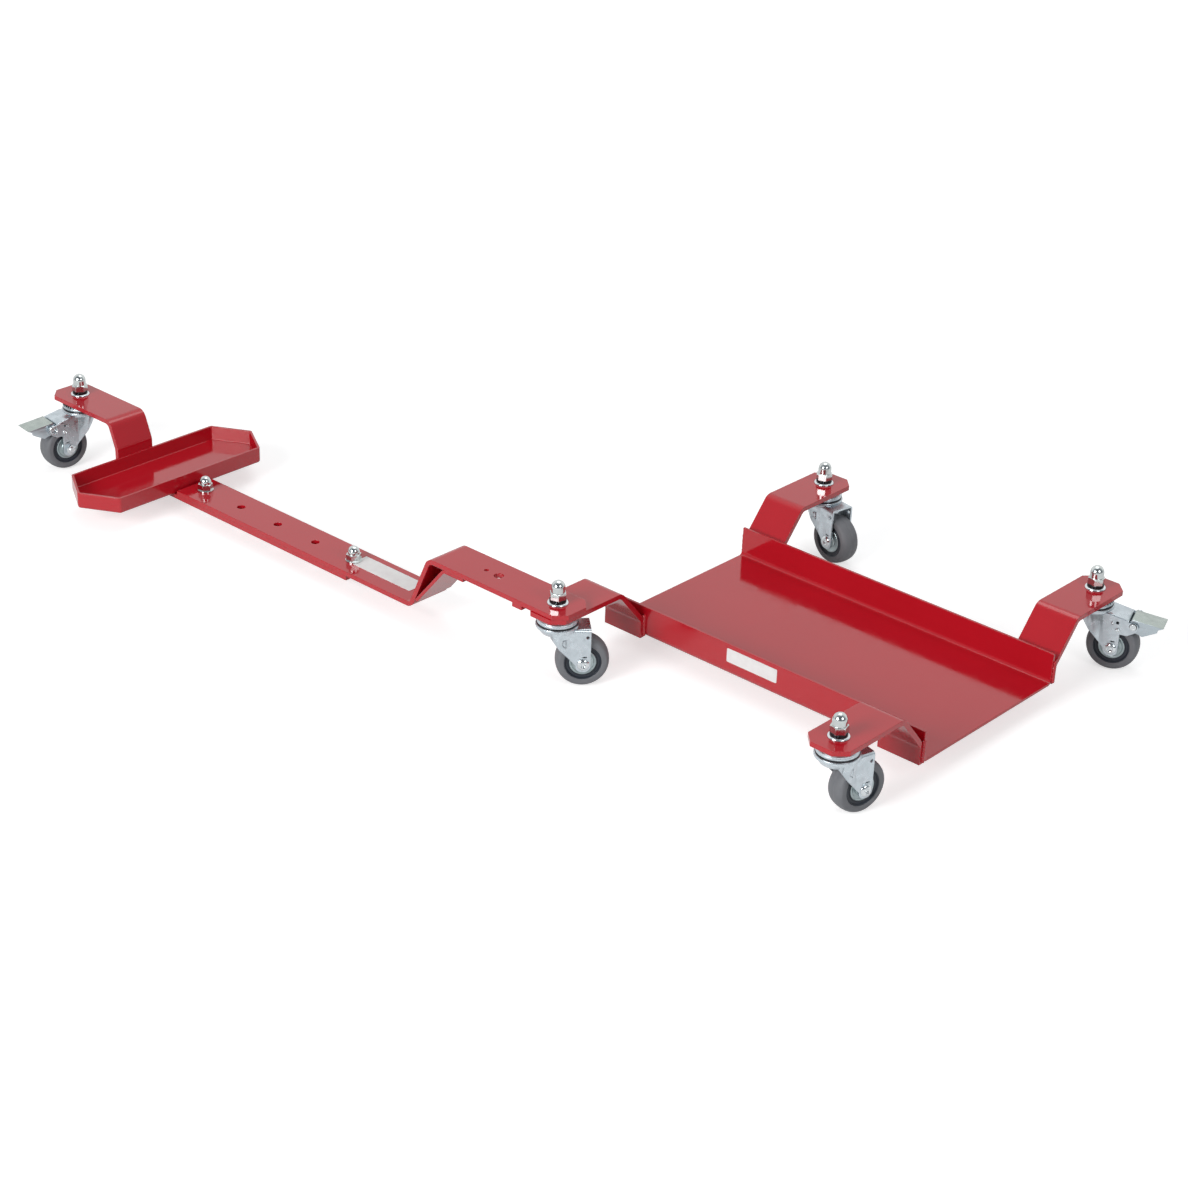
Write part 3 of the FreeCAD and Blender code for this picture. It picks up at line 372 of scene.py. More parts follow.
@dataclass
class Studio:
    """White room, soft lamps and the camera."""

    target: Vector
    camera_place: tuple[float, float, float] = (1747.2, -2154.6, 1446.6)
    right: tuple[float, float, float] = (0.7364, 0.6761, 0.0326)
    up: tuple[float, float, float] = (-0.3307, 0.3174, 0.8884)
    back: tuple[float, float, float] = (0.5905, -0.6650, 0.4570)
    focal_px: float = 2531.0
    frame_px: float = 1188.0
    floor_glow: float = 0.60
    floor_mirror: float = 0.34
    near_rim: float = 1.1
    far_rim: float = 3.5
    floor_half: float = 30.0
    floor_grey: float = 0.66
    sensor: float = 36.0
    room_light: float = 0.30
    lamps: tuple[Lamp, ...] = (
        Lamp("key", (0.1, -3.3, 1.5), 1.6, 92.0),
        Lamp("side", (3.2, -0.6, 1.8), 1.4, 26.0),
        Lamp("top", (-0.3, 0.8, 3.4), 2.4, 30.0),
    )
    shades: tuple[tuple[float, float, float, float], ...] = (
        (0.50, 0.45, 0.48, 0.50), (0.75, 0.12, 0.13, 0.15),
    )

    def build(self) -> None:
        """Set up camera, lamps, room and floor."""
        scene = bpy.context.scene
        scene.view_settings.view_transform = "Standard"
        self._camera(scene)
        for lamp in self.lamps:
            self._lamp(lamp)
        self._room(scene)
        self._floor()

    def _camera(self, scene: bpy.types.Scene) -> None:
        """Stand the camera where the picture was taken from."""
        data = bpy.data.cameras.new("camera")
        data.sensor_fit = "HORIZONTAL"
        data.sensor_width = self.sensor
        data.lens = self.sensor * self.focal_px / self.frame_px
        data.clip_end = 100.0
        camera = bpy.data.objects.new("camera", data)
        scene.collection.objects.link(camera)
        turn = Matrix((self.right, self.up, self.back)).transposed().to_4x4()
        camera.matrix_world = Matrix.Translation(spot(*self.camera_place)) @ turn
        scene.camera = camera

    def _lamp(self, lamp: Lamp) -> None:
        """Hang one lamp and turn it to the dolly."""
        data = bpy.data.lights.new(lamp.name, "AREA")
        data.shape = "SQUARE"
        data.size = lamp.size
        data.energy = lamp.power
        body = bpy.data.objects.new(lamp.name, data)
        bpy.context.scene.collection.objects.link(body)
        body.location = self.target + Vector(lamp.place)
        body.rotation_euler = (-Vector(lamp.place)).to_track_quat("-Z", "Y").to_euler()

    def _room(self, scene: bpy.types.Scene) -> None:
        """White surroundings for the eye and for gloss, dimmer ones for light."""
        world = bpy.data.worlds.new("white_room")
        scene.world = world
        world.use_nodes = True
        tree = world.node_tree
        tree.nodes.clear()
        new, link = tree.nodes.new, tree.links.new
        out = new("ShaderNodeOutputWorld")
        light = new("ShaderNodeBackground")
        light.inputs["Color"].default_value = (0.97, 0.985, 1.0, 1.0)
        light.inputs["Strength"].default_value = self.room_light
        seen = new("ShaderNodeBackground")
        seen.inputs["Strength"].default_value = 1.0
        where = new("ShaderNodeTexCoord")
        facing = new("ShaderNodeVectorMath")
        facing.operation = "DOT_PRODUCT"
        facing.inputs[1].default_value = (self.back[0], self.back[1], 0.0)
        link(where.outputs["Generated"], facing.inputs[0])
        ramp = new("ShaderNodeValToRGB")
        ramp.color_ramp.elements[0].position = 0.35
        ramp.color_ramp.elements[0].color = (1.0, 1.0, 1.0, 1.0)
        ramp.color_ramp.elements[1].position = 1.0
        ramp.color_ramp.elements[1].color = (0.25, 0.27, 0.29, 1.0)
        for position, *shade in self.shades:
            ramp.color_ramp.elements.new(position).color = (*shade, 1.0)
        span = new("ShaderNodeMapRange")
        span.inputs["From Min"].default_value = -1.0
        link(facing.outputs["Value"], span.inputs["Value"])
        link(span.outputs["Result"], ramp.inputs["Fac"])
        link(ramp.outputs["Color"], seen.inputs["Color"])
        white = new("ShaderNodeBackground")
        white.inputs["Color"].default_value = (1.0, 1.0, 1.0, 1.0)
        rays = new("ShaderNodeLightPath")
        mirrored = new("ShaderNodeMixShader")
        link(rays.outputs["Is Glossy Ray"], mirrored.inputs[0])
        link(light.outputs[0], mirrored.inputs[1])
        link(seen.outputs[0], mirrored.inputs[2])
        mix = new("ShaderNodeMixShader")
        link(rays.outputs["Is Camera Ray"], mix.inputs[0])
        link(mirrored.outputs[0], mix.inputs[1])
        link(white.outputs[0], mix.inputs[2])
        link(mix.outputs[0], out.inputs["Surface"])

    def _floor(self) -> None:
        """Pale floor that looks white and keeps the shadow."""
        clear_selection()
        bpy.ops.mesh.primitive_plane_add(size=2 * self.floor_half, location=(0.0, 0.0, 0.0))
        floor = bpy.context.active_object
        floor.name = "studio_floor"
        work = Shader("studio_floor")
        work.surface.inputs["Base Color"].default_value = (*(self.floor_grey,) * 3, 1.0)
        work.surface.inputs["Roughness"].default_value = 1.0
        work.surface.inputs["Specular IOR Level"].default_value = 0.0
        glow = work.node("ShaderNodeEmission")
        where = work.node("ShaderNodeTexCoord")
        far = work.node("ShaderNodeVectorMath", {"operation": "LENGTH"})
        work.link(where, "Object", far, 0)
        lift = work.spread(far, "Value", self.floor_glow, 1.0, self.near_rim, self.far_rim)
        rays = work.node("ShaderNodeLightPath")
        seen = work.node("ShaderNodeMath", {"operation": "MULTIPLY"})
        work.link(rays, "Is Camera Ray", seen, 0)
        work.link(lift, "Result", seen, 1)
        mirrored = work.node("ShaderNodeMath", {"operation": "MULTIPLY_ADD"})
        mirrored.inputs[1].default_value = self.floor_mirror
        work.link(rays, "Is Glossy Ray", mirrored, 0)
        work.link(seen, 0, mirrored, 2)
        work.link(mirrored, 0, glow, "Strength")
        both = work.node("ShaderNodeAddShader")
        work.link(work.surface, "BSDF", both, 0)
        work.link(glow, 0, both, 1)
        work.link(both, 0, work.output, "Surface")
        floor.data.materials.append(work.material)


def enter_edit() -> None:
    """Go to edit mode."""
    bpy.ops.object.mode_set(mode="EDIT")


def leave_edit() -> None:
    """Go back to object mode."""
    bpy.ops.object.mode_set(mode="OBJECT")


def select_all() -> None:
    """Select the whole mesh in edit mode."""
    bpy.ops.mesh.select_all(action="SELECT")


def keep_place() -> None:
    """Put place, turn and scale of the active piece into its mesh."""
    bpy.ops.object.transform_apply(location=True, rotation=True, scale=True)


def clear_selection() -> None:
    """Leave edit mode and deselect everything."""
    if bpy.context.mode != "OBJECT":
        leave_edit()
    bpy.ops.object.select_all(action="DESELECT")


def dress(target: bpy.types.Object, material: bpy.types.Material) -> None:
    """Give a piece one material."""
    target.data.materials.clear()
    target.data.materials.append(material)


def take(piece: bpy.types.Object) -> None:
    """Select one piece alone."""
    clear_selection()
    piece.select_set(True)
    bpy.context.view_layer.objects.active = piece


def settle(piece: bpy.types.Object, stand: Matrix) -> None:
    """Move a piece to its place and keep that place in its mesh.

    Args:
        piece: Piece modelled about its own zero point.
        stand: Where that point and its axes go.
    """
    take(piece)
    piece.matrix_world = stand
    keep_place()


def copied(template: bpy.types.Object, name: str, stand: Matrix) -> bpy.types.Object:
    """Copy a piece with its own mesh and stand the copy at its place.

    Args:
        template: Piece to copy.
        name: Name of the copy.
        stand: Where the copy goes.

    Returns:
        The copy.
    """
    twin = template.copy()
    twin.data = template.data.copy()
    twin.name = name
    bpy.context.scene.collection.objects.link(twin)
    settle(twin, stand)
    return twin


def drop(template: bpy.types.Object) -> None:
    """Remove a piece that served only as a pattern."""
    bpy.data.objects.remove(template, do_unlink=True)


def choose(piece: bpy.types.Object, kind: Pick, test: Callable[[int, list[Vector]], bool]) -> None:
    """Go to edit mode with only those points or lines selected that pass a test.

    Args:
        piece: Piece to work on.
        kind: What is chosen.
        test: Called with the index of each and its end points in millimetres.
    """
    take(piece)
    enter_edit()
    bpy.ops.mesh.select_mode(type=kind.value)
    bpy.ops.mesh.select_all(action="DESELECT")
    leave_edit()
    points = piece.data.vertices
    if kind is Pick.POINTS:
        for point in points:
            point.select = test(point.index, [point.co / MM])
    else:
        for line in piece.data.edges:
            line.select = test(line.index, [points[index].co / MM for index in line.vertices])
    enter_edit()


def finish_mesh(piece: bpy.types.Object, angle: float = 35.0) -> None:
    """Merge doubles, point the faces outwards and smooth the gentle edges.

    Args:
        piece: Piece to finish.
        angle: Edges sharper than this many degrees stay crisp.
    """
    take(piece)
    enter_edit()
    select_all()
    bpy.ops.mesh.remove_doubles(threshold=MERGE)
    bpy.ops.mesh.normals_make_consistent(inside=False)
    leave_edit()
    bpy.ops.object.shade_smooth_by_angle(angle=math.radians(angle))


def joined(pieces: list[bpy.types.Object], name: str) -> bpy.types.Object:
    """Make one piece of several.

    Args:
        pieces: Pieces to join.
        name: Name of the result.

    Returns:
        The joined piece.
    """
    clear_selection()
    for piece in pieces:
        piece.select_set(True)
    bpy.context.view_layer.objects.active = pieces[0]
    bpy.ops.object.join()
    pieces[0].name = name
    return pieces[0]


def fit(piece: bpy.types.Object, body: str, slot: str | None, material: bpy.types.Material,
        *nodes: str) -> None:
    """Dress a piece, tie it to its body and hide the nodes that it stands for.

    Args:
        piece: Finished piece.
        body: Body that carries it.
        slot: Its material slot in the record, or None; not used.
        material: Its finish.
        *nodes: Nodes of the frame that it replaces.
    """
    dress(piece, material)
    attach(piece, body)
    if nodes:
        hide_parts(*nodes)
    LOG.info("%s rides on %s", piece.name, body)


@dataclass
class Turned:
    """Piece turned from an outline of radii and heights in millimetres."""

    name: str
    outline: tuple[tuple[float, float], ...]
    ring: bool = False
    sides: int = 72
    axis: Axis = Axis.UP

    def build(self) -> bpy.types.Object:
        """Raise the outline from a circle, step by step.

        Returns:
            The turned piece, standing at the zero point along its axis.
        """
        steps = self.outline + (self.outline[:1] if self.ring else ())
        clear_selection()
        radius, height = steps[0]
        bpy.ops.mesh.primitive_circle_add(vertices=self.sides, radius=radius * MM, fill_type="NOTHING",
                                          location=(0.0, 0.0, height * MM))
        piece = bpy.context.active_object
        piece.name = self.name
        keep_place()
        enter_edit()
        bpy.ops.mesh.select_mode(type="EDGE")
        select_all()
        for wide, high in steps[1:]:
            bpy.ops.mesh.extrude_region_move(TRANSFORM_OT_translate={"value": (0.0, 0.0, (high - height) * MM)})
            share = wide / radius
            bpy.ops.transform.resize(value=(share, share, 1.0), center_override=(0.0, 0.0, 0.0))
            radius, height = wide, high
        select_all()
        if self.ring:
            bpy.ops.mesh.remove_doubles(threshold=MERGE)
        else:
            bpy.ops.mesh.fill_holes(sides=0)
        leave_edit()
        settle(piece, self.axis.turn())
        finish_mesh(piece)
        return piece


def both_sides(half: Sequence[tuple[float, float]]) -> tuple[tuple[float, float], ...]:
    """Outline made of one half and its mirror image.

    Args:
        half: Radii and heights above the middle, from the inside to the middle of the rim.

    Returns:
        The whole closed outline.
    """
    return (*half, *((radius, -height) for radius, height in reversed(half)))


@dataclass(frozen=True)
class CasterPlace:
    """Where one caster stands and whether it has a brake."""

    name: str
    x: float
    y: float
    heading: float
    brake: bool

    def stand(self, along: float = 0.0, across: float = 0.0, up: float = 0.0) -> Matrix:
        """Axes of the caster, moved within it by millimetres.

        Args:
            along: From the stem towards the axle.
            across: To the left of that.
            up: Above the floor.

        Returns:
            The matrix of that place.
        """
        turn = Matrix.Translation(spot(self.x, self.y, 0.0)) @ Matrix.Rotation(math.radians(self.heading), 4, "Z")
        return turn @ Matrix.Translation(Vector((along, across, up)) * MM)


CASTERS = (
    CasterPlace("tray", -876.5, -261.0, 262.0, True),
    CasterPlace("back_left", 0.0, 249.0, -10.0, False),
    CasterPlace("back_right", 408.0, 249.0, 20.0, True),
    CasterPlace("front_right", 408.0, -249.0, 75.0, False),
    CasterPlace("front_left", 0.0, -249.0, 48.0, False),
)


@dataclass
class Wheels:
    """Tyre, core ring and hub of every caster."""

    finishes: Finishes
    trail: float = 30.0
    rolling_r: float = 31.75
    bead_r: float = 21.8
    half_width: float = 12.5
    core_r: float = 16.0
    bore_r: float = 4.1
    nose_half: float = 13.5

    def tyre(self) -> bpy.types.Object:
        """Tyre with eased shoulders and a fine mould line."""
        half, tread = self.half_width, self.rolling_r
        return Turned("tyre_pattern", both_sides([
            (self.bead_r, half - 0.7), (self.bead_r + 0.7, half - 0.1), (tread - 5.0, half), (tread - 3.7, half - 0.35),
            (tread - 2.3, half - 1.4), (tread - 1.25, half - 3.3), (tread - 0.5, half - 6.0),
            (tread - 0.12, half - 9.0), (tread, 0.7), (tread - 0.16, 0.35),
        ]), ring=True, sides=96, axis=Axis.LATERAL).build()

    def core(self) -> bpy.types.Object:
        """Dished ring between tyre and hub, with a lip against the tyre."""
        half, outer, inner = self.half_width, self.bead_r, self.core_r
        return Turned("core_pattern", both_sides([
            (inner - 0.1, half - 1.6), (inner + 0.8, half - 1.8), (inner + 1.5, half - 2.6), (outer - 2.0, half - 2.4),
            (outer - 1.3, half - 1.0), (outer - 0.9, half - 0.5), (outer, half - 0.5),
        ]), ring=True, sides=96, axis=Axis.LATERAL).build()

    def hub(self) -> bpy.types.Object:
        """Hub with a raised rim, a sunk web and a nose against the fork."""
        half, nose, rim = self.half_width, self.nose_half, self.core_r
        return Turned("hub_pattern", both_sides([
            (self.bore_r, nose), (7.2, nose), (7.9, nose - 0.5), (8.2, half - 0.7), (9.2, half - 1.6),
            (rim - 3.4, half - 1.9), (rim - 2.6, half - 1.3), (rim - 1.0, half - 1.1), (rim - 0.1, half - 1.7),
        ]), ring=True, axis=Axis.LATERAL).build()

    def build(self) -> None:
        """Model each piece once and fit a copy to every wheel."""
        patterns = (("tyre", self.tyre(), "tread_grey", self.finishes.tread),
                    ("rim", self.core(), "core_dark", self.finishes.core),
                    ("hub", self.hub(), "hub_grey", self.finishes.hub))
        for kind, pattern, slot, material in patterns:
            for caster in CASTERS:
                stand = caster.stand(self.trail, 0.0, self.rolling_r)
                piece = copied(pattern, f"{caster.name}_{kind}_form", stand)
                fit(piece, f"{caster.name}_wheel", slot, material, f"{caster.name}_{kind}")
            drop(pattern)


@dataclass
class SwivelRaces:
    """Rolled rim of every fork crown and the race cup above it."""

    finishes: Finishes
    crown_r: float = 25.0
    crown_low: float = 75.4
    crown_top: float = 80.1
    cup_r: float = 24.0
    cup_low: float = 81.9
    plate_z: float = 92.4
    neck_r: float = 18.0
    teeth: int = 36
    teeth_r: float = 24.2
    teeth_low: float = 85.2
    teeth_h: float = 4.2
    root: float = 0.92

    def crown_rim(self) -> bpy.types.Object:
        """Rounded rim where the crown's sheet is rolled over the balls."""
        low, top, wide = self.crown_low, self.crown_top, self.crown_r
        return Turned("crown_rim_pattern", (
            (wide - 2.4, low + 0.4), (wide - 0.6, low), (wide + 0.2, low + 0.6), (wide + 0.55, low + 1.8),
            (wide + 0.5, low + 3.2), (wide, low + 4.3), (wide - 0.9, top), (wide - 2.4, top),
        ), ring=True, sides=96).build()

    def race_cup(self) -> bpy.types.Object:
        """Upper race with a rounded edge, drawn in under the plate."""
        low, wide, neck = self.cup_low, self.cup_r, self.neck_r
        return Turned("race_cup_pattern", (
            (neck - 2.0, low), (wide - 0.8, low), (wide + 0.1, low + 0.5), (wide + 0.3, low + 1.6),
            (wide, low + 2.8), (wide - 1.1, low + 4.4), (wide - 3.0, low + 6.4), (neck + 0.8, low + 8.6),
            (neck + 0.2, self.plate_z), (neck - 2.0, self.plate_z),
        ), ring=True, sides=96).build()

    def gap_shade(self) -> bpy.types.Object:
        """Black ring that closes the gap between the two races, as painted shade of that gap."""
        low, wide = self.crown_top + 0.15, self.cup_r
        return Turned("gap_shade_pattern", (
            (wide - 2.0, low), (wide + 0.2, low), (wide + 0.5, low + 0.5), (wide + 0.5, low + 1.2),
            (wide + 0.2, low + 1.7), (wide - 2.0, low + 1.7),
        ), ring=True, sides=96).build()

    def lock_teeth(self) -> bpy.types.Object:
        """Toothed ring that the brake's lever locks the swivel with."""
        clear_selection()
        bpy.ops.mesh.primitive_circle_add(vertices=4 * self.teeth, radius=self.teeth_r * MM, fill_type="NGON",
                                          location=(0.0, 0.0, self.teeth_low * MM))
        piece = bpy.context.active_object
        keep_place()
        choose(piece, Pick.POINTS, lambda index, ends: index % 4 < 2)
        bpy.ops.transform.resize(value=(self.root, self.root, 1.0), center_override=(0.0, 0.0, 0.0))
        select_all()
        bpy.ops.mesh.extrude_region_move(TRANSFORM_OT_translate={"value": (0.0, 0.0, self.teeth_h * MM)})
        leave_edit()
        finish_mesh(piece)
        return piece

    def build(self) -> None:
        """Fit a rim, a cup and a black ring of painted shade between them to every caster, and teeth to those with
        brakes.
        """
        rim, cup, gap_shade, teeth = self.crown_rim(), self.race_cup(), self.gap_shade(), self.lock_teeth()
        for caster in CASTERS:
            fit(copied(rim, f"{caster.name}_crown_rim", caster.stand()), f"{caster.name}_caster", "zinc",
                self.finishes.zinc)
            fit(copied(cup, f"{caster.name}_race_cup", caster.stand()), "frame", "zinc", self.finishes.zinc)
            # The black ring between the races is painted shade of the gap.
            fit(copied(gap_shade, f"{caster.name}_dust_seal", caster.stand()), "frame", "dark_steel",
                self.finishes.spring)
            if caster.brake:
                fit(copied(teeth, f"{caster.name}_lock_teeth", caster.stand()), "frame", "dark_steel",
                    self.finishes.spring)
        for pattern in (rim, cup, gap_shade, teeth):
            drop(pattern)


@dataclass
class PressedParts:
    """Forks and brake pedals, eased and shaped from the frame's own solids."""

    nodes: dict[str, bpy.types.Object]
    finishes: Finishes
    neck_share: float = 0.78
    wing_back: float = 3.0
    wing_top: float = 72.0
    wing_low: float = 45.0
    bowl_r: float = 20.0
    ear_x: float = 59.2
    ear_round: float = 5.0
    slot_place: tuple[float, float] = (31.4, 41.2)
    leg: float = 17.0
    sheet: float = 2.5
    fold_x: float = 15.0
    near: float = 0.1
    slot_size: tuple[float, float] = (3.0, 0.85)
    edge: float = 0.4

    def pattern(self, caster: CasterPlace, kind: str) -> bpy.types.Object:
        """Copy a solid of one caster into the caster's own axes, with whole flat faces.

        Args:
            caster: Caster that the solid belongs to.
            kind: Ending of the node's name.

        Returns:
            The copy, ready to be shaped.
        """
        piece = copied(self.nodes[f"{caster.name}_{kind}"], f"{kind}_pattern", caster.stand().inverted())
        for key in list(piece.keys()):
            del piece[key]
        take(piece)
        enter_edit()
        select_all()
        bpy.ops.mesh.remove_doubles(threshold=MERGE)
        bpy.ops.mesh.dissolve_limited(angle_limit=FLAT_ANGLE)
        leave_edit()
        return piece

    def draw_in(self, piece: bpy.types.Object) -> None:
        """Draw the lower edge of the crown and wings in, so that the neck tapers under the rolled rim."""
        choose(piece, Pick.POINTS, lambda index, ends: (
            ends[0].x < self.wing_back and self.wing_low < ends[0].z < self.wing_top
            and math.hypot(ends[0].x, ends[0].y) > self.bowl_r))
        share = self.neck_share
        bpy.ops.transform.resize(value=(share, share, 1.0), center_override=(0.0, 0.0, 0.0))
        leave_edit()

    def round_ears(self, piece: bpy.types.Object) -> None:
        """Round the ends of the ears about the pedal pin."""
        choose(piece, Pick.LINES, lambda index, ends: (
            all(abs(end.x - self.ear_x) < self.near for end in ends) and abs(ends[0].z - ends[1].z) < self.near))
        bpy.ops.mesh.bevel(offset=self.ear_round * MM, segments=6, affect="EDGES")
        leave_edit()

    def punch_slot(self, piece: bpy.types.Object) -> None:
        """Punch the small slot above the axle through both legs."""
        along, up = self.slot_place
        length, radius = self.slot_size
        clear_selection()
        bpy.ops.mesh.primitive_cylinder_add(vertices=24, radius=radius * MM, depth=4 * self.leg * MM,
                                            location=(along * MM, 0.0, up * MM),
                                            rotation=(math.radians(90.0), 0.0, 0.0))
        cutter = bpy.context.active_object
        cutter.scale.x = length / radius
        take(piece)
        slot = piece.modifiers.new("slot", "BOOLEAN")
        slot.operation = "DIFFERENCE"
        slot.solver = "EXACT"
        slot.object = cutter
        bpy.ops.object.modifier_apply(modifier="slot")
        drop(cutter)

    def mark_fold(self, piece: bpy.types.Object) -> None:
        """Keep the fold between wing and leg crisp."""
        inside = self.leg - self.sheet - 5 * self.near
        choose(piece, Pick.LINES, lambda index, ends: all(
            abs(end.x - self.fold_x) < 3 * self.near and abs(end.y) > inside for end in ends))
        bpy.ops.mesh.mark_sharp()
        leave_edit()

    def ease(self, piece: bpy.types.Object, width: float) -> None:
        """Round every sharp edge a little.

        Args:
            piece: Piece to ease.
            width: Width of the rounding in millimetres.
        """
        take(piece)
        edges = piece.modifiers.new("edges", "BEVEL")
        edges.width = width * MM
        edges.segments = 2
        edges.limit_method = "ANGLE"
        edges.angle_limit = math.radians(40.0)
        bpy.ops.object.modifier_apply(modifier="edges")
        finish_mesh(piece, 32.0)

    def build(self) -> None:
        """Shape one fork of each kind and one pedal, and fit the copies."""
        plain = self.pattern(CASTERS[4], "fork")
        braked = self.pattern(CASTERS[2], "fork")
        self.round_ears(braked)
        for fork in (plain, braked):
            self.draw_in(fork)
            self.punch_slot(fork)
            self.ease(fork, self.edge)
            self.mark_fold(fork)
        pedal = self.pattern(CASTERS[2], "brake_pedal")
        self.ease(pedal, 1.4 * self.edge)
        for caster in CASTERS:
            fork = copied(braked if caster.brake else plain, f"{caster.name}_fork_form", caster.stand())
            fit(fork, f"{caster.name}_caster", "zinc", self.finishes.zinc, f"{caster.name}_fork")
            if caster.brake:
                tread = copied(pedal, f"{caster.name}_pedal_form", caster.stand())
                fit(tread, f"{caster.name}_brake", "pedal_zinc", self.finishes.pedal, f"{caster.name}_brake_pedal")
        for pattern in (plain, braked, pedal):
            drop(pattern)


@dataclass
class Axles:
    """Axle bolt with a flanged round head on one leg and a nut on the other."""

    finishes: Finishes
    trail: float = 30.0
    height: float = 31.75
    leg: float = 17.02
    shank_r: float = 4.0
    flange_r: float = 7.3
    nut_r: float = 7.0
    nut_h: float = 5.0

    def bolt(self) -> bpy.types.Object:
        """Shank, flanged domed head and threaded end."""
        leg, shank, flange = self.leg, self.shank_r, self.flange_r
        end = leg + self.nut_h + 2.2
        return Turned("axle_pattern", (
            (0.02, -leg - 1.0), (2.0, -leg - 1.0), (2.8, -leg - 2.1), (3.9, -leg - 2.6), (5.2, -leg - 2.3),
            (6.3, -leg - 1.5), (flange - 0.2, -leg - 0.8), (flange, -leg - 0.4), (flange, -leg), (shank, -leg),
            (shank, end - 0.9), (shank - 0.7, end), (0.02, end),
        ), axis=Axis.LATERAL).build()

    def nut(self) -> bpy.types.Object:
        """Hexagon nut with cut corners."""
        wide, low, top = self.nut_r, self.leg, self.leg + self.nut_h
        return Turned("axle_nut_pattern", (
            (self.shank_r - 0.1, low), (wide - 0.5, low), (wide, low + 0.5), (wide, top - 0.9), (wide - 1.1, top),
            (self.shank_r + 0.3, top), (self.shank_r - 0.1, top - 0.4),
        ), ring=True, sides=6, axis=Axis.LATERAL).build()

    def build(self) -> None:
        """Fit a bolt with its nut to every caster."""
        pattern = joined([self.bolt(), self.nut()], "axle_bolt_pattern")
        finish_mesh(pattern, 28.0)
        for caster in CASTERS:
            piece = copied(pattern, f"{caster.name}_axle_form", caster.stand(self.trail, 0.0, self.height))
            fit(piece, f"{caster.name}_caster", "bolt_steel", self.finishes.bright, f"{caster.name}_axle_bolt")
        drop(pattern)


@dataclass
class BrakeDetails:
    """Leg rivets, pin rings and the return spring of the casters with brakes."""

    finishes: Finishes
    leg: float = 17.0
    rivet_r: float = 2.7
    rivet_h: float = 1.5
    rivets: tuple[tuple[float, float, float], ...] = ((29.0, 65.4, 0.78), (35.8, 57.7, 1.15), (53.2, 65.55, 1.1))
    ring: tuple[float, float] = (2.9, 4.6)
    pivot: tuple[float, float] = (53.2, 65.55)
    coil_r: float = 5.0
    wire_r: float = 0.65
    turns: int = 3
    tail: tuple[tuple[float, float], ...] = ((49.6, 69.4), (45.0, 71.2), (38.0, 70.2), (31.5, 66.6), (28.4, 65.2))

    def rivet(self) -> bpy.types.Object:
        """Low domed rivet head."""
        wide, high = self.rivet_r, self.rivet_h
        return Turned("rivet_pattern", (
            (0.02, -0.4), (wide, -0.4), (wide, 0.25), (wide - 0.3, high - 0.5), (wide - 0.8, high - 0.05),
            (wide - 1.3, high), (wide - 1.7, high - 0.6), (0.02, high - 0.7),
        ), sides=32, axis=Axis.LATERAL).build()

    def pin_ring(self) -> bpy.types.Object:
        """Dark washer under the pin's head."""
        inner, outer = self.ring
        return Turned("pin_ring_pattern", (
            (inner, -0.2), (outer, -0.2), (outer, 0.3), (outer - 0.2, 0.5), (inner, 0.5),
        ), ring=True, sides=40, axis=Axis.LATERAL).build()

    def coil(self) -> bpy.types.Object:
        """Wire wound round the pedal pin."""
        clear_selection()
        bpy.ops.mesh.primitive_circle_add(vertices=10, radius=self.wire_r * MM, fill_type="NGON",
                                          location=(self.coil_r * MM, 0.0, 0.0),
                                          rotation=(math.radians(90.0), 0.0, 0.0))
        piece = bpy.context.active_object
        keep_place()
        enter_edit()
        select_all()
        pitch = 2.15 * self.wire_r * MM
        for _turn in range(self.turns):
            for _part in range(36):
                bpy.ops.mesh.extrude_region_move(TRANSFORM_OT_translate={"value": (0.0, 0.0, pitch / 36)})
                bpy.ops.transform.rotate(value=math.radians(10.0), orient_axis="Z", center_override=(0.0, 0.0, 0.0))
        leave_edit()
        settle(piece, Axis.LATERAL.turn())
        return piece

    def wire(self) -> bpy.types.Object:
        """Straight end of the spring, hooked behind the leg rivet."""
        line = bpy.data.curves.new("spring_wire", "CURVE")
        line.dimensions = "3D"
        line.bevel_depth = self.wire_r * MM
        line.bevel_resolution = 2
        line.use_fill_caps = True
        run = line.splines.new("NURBS")
        run.points.add(len(self.tail) - 1)
        for point, (x, z) in zip(run.points, self.tail):
            point.co = ((x - self.pivot[0]) * MM, 0.0, (z - self.pivot[1]) * MM, 1.0)
        run.order_u = 3
        run.use_endpoint_u = True
        piece = bpy.data.objects.new("spring_wire", line)
        bpy.context.scene.collection.objects.link(piece)
        take(piece)
        bpy.ops.object.convert(target="MESH")
        return bpy.context.active_object

    def build(self) -> None:
        """Fit rivets, rings and springs to the casters with brakes."""
        rivet, ring = self.rivet(), self.pin_ring()
        spring = joined([self.coil(), self.wire()], "spring_pattern")
        finish_mesh(spring, 60.0)
        for caster in CASTERS:
            if not caster.brake:
                continue
            heads = []
            rings = []
            for side in (-1.0, 1.0):
                turn = Matrix.Rotation(math.pi * (side < 0), 4, "X")
                for x, z, size in self.rivets:
                    heads.append(copied(rivet, "rivet", caster.stand(x, side * self.leg, z) @ turn
                                        @ Matrix.Scale(size, 4)))
                rings.append(copied(ring, "ring", caster.stand(self.pivot[0], side * self.leg, self.pivot[1]) @ turn))
            fit(joined(heads, f"{caster.name}_leg_rivets"), f"{caster.name}_caster", "bolt_steel",
                self.finishes.bright)
            fit(joined(rings, f"{caster.name}_pin_rings"), f"{caster.name}_caster", "dark_steel",
                self.finishes.spring)
            stand = caster.stand(self.pivot[0], self.leg + 0.8, self.pivot[1])
            fit(copied(spring, f"{caster.name}_return_spring", stand), f"{caster.name}_caster", "bolt_steel",
                self.finishes.bright)
        for pattern in (rivet, ring, spring):
            drop(pattern)


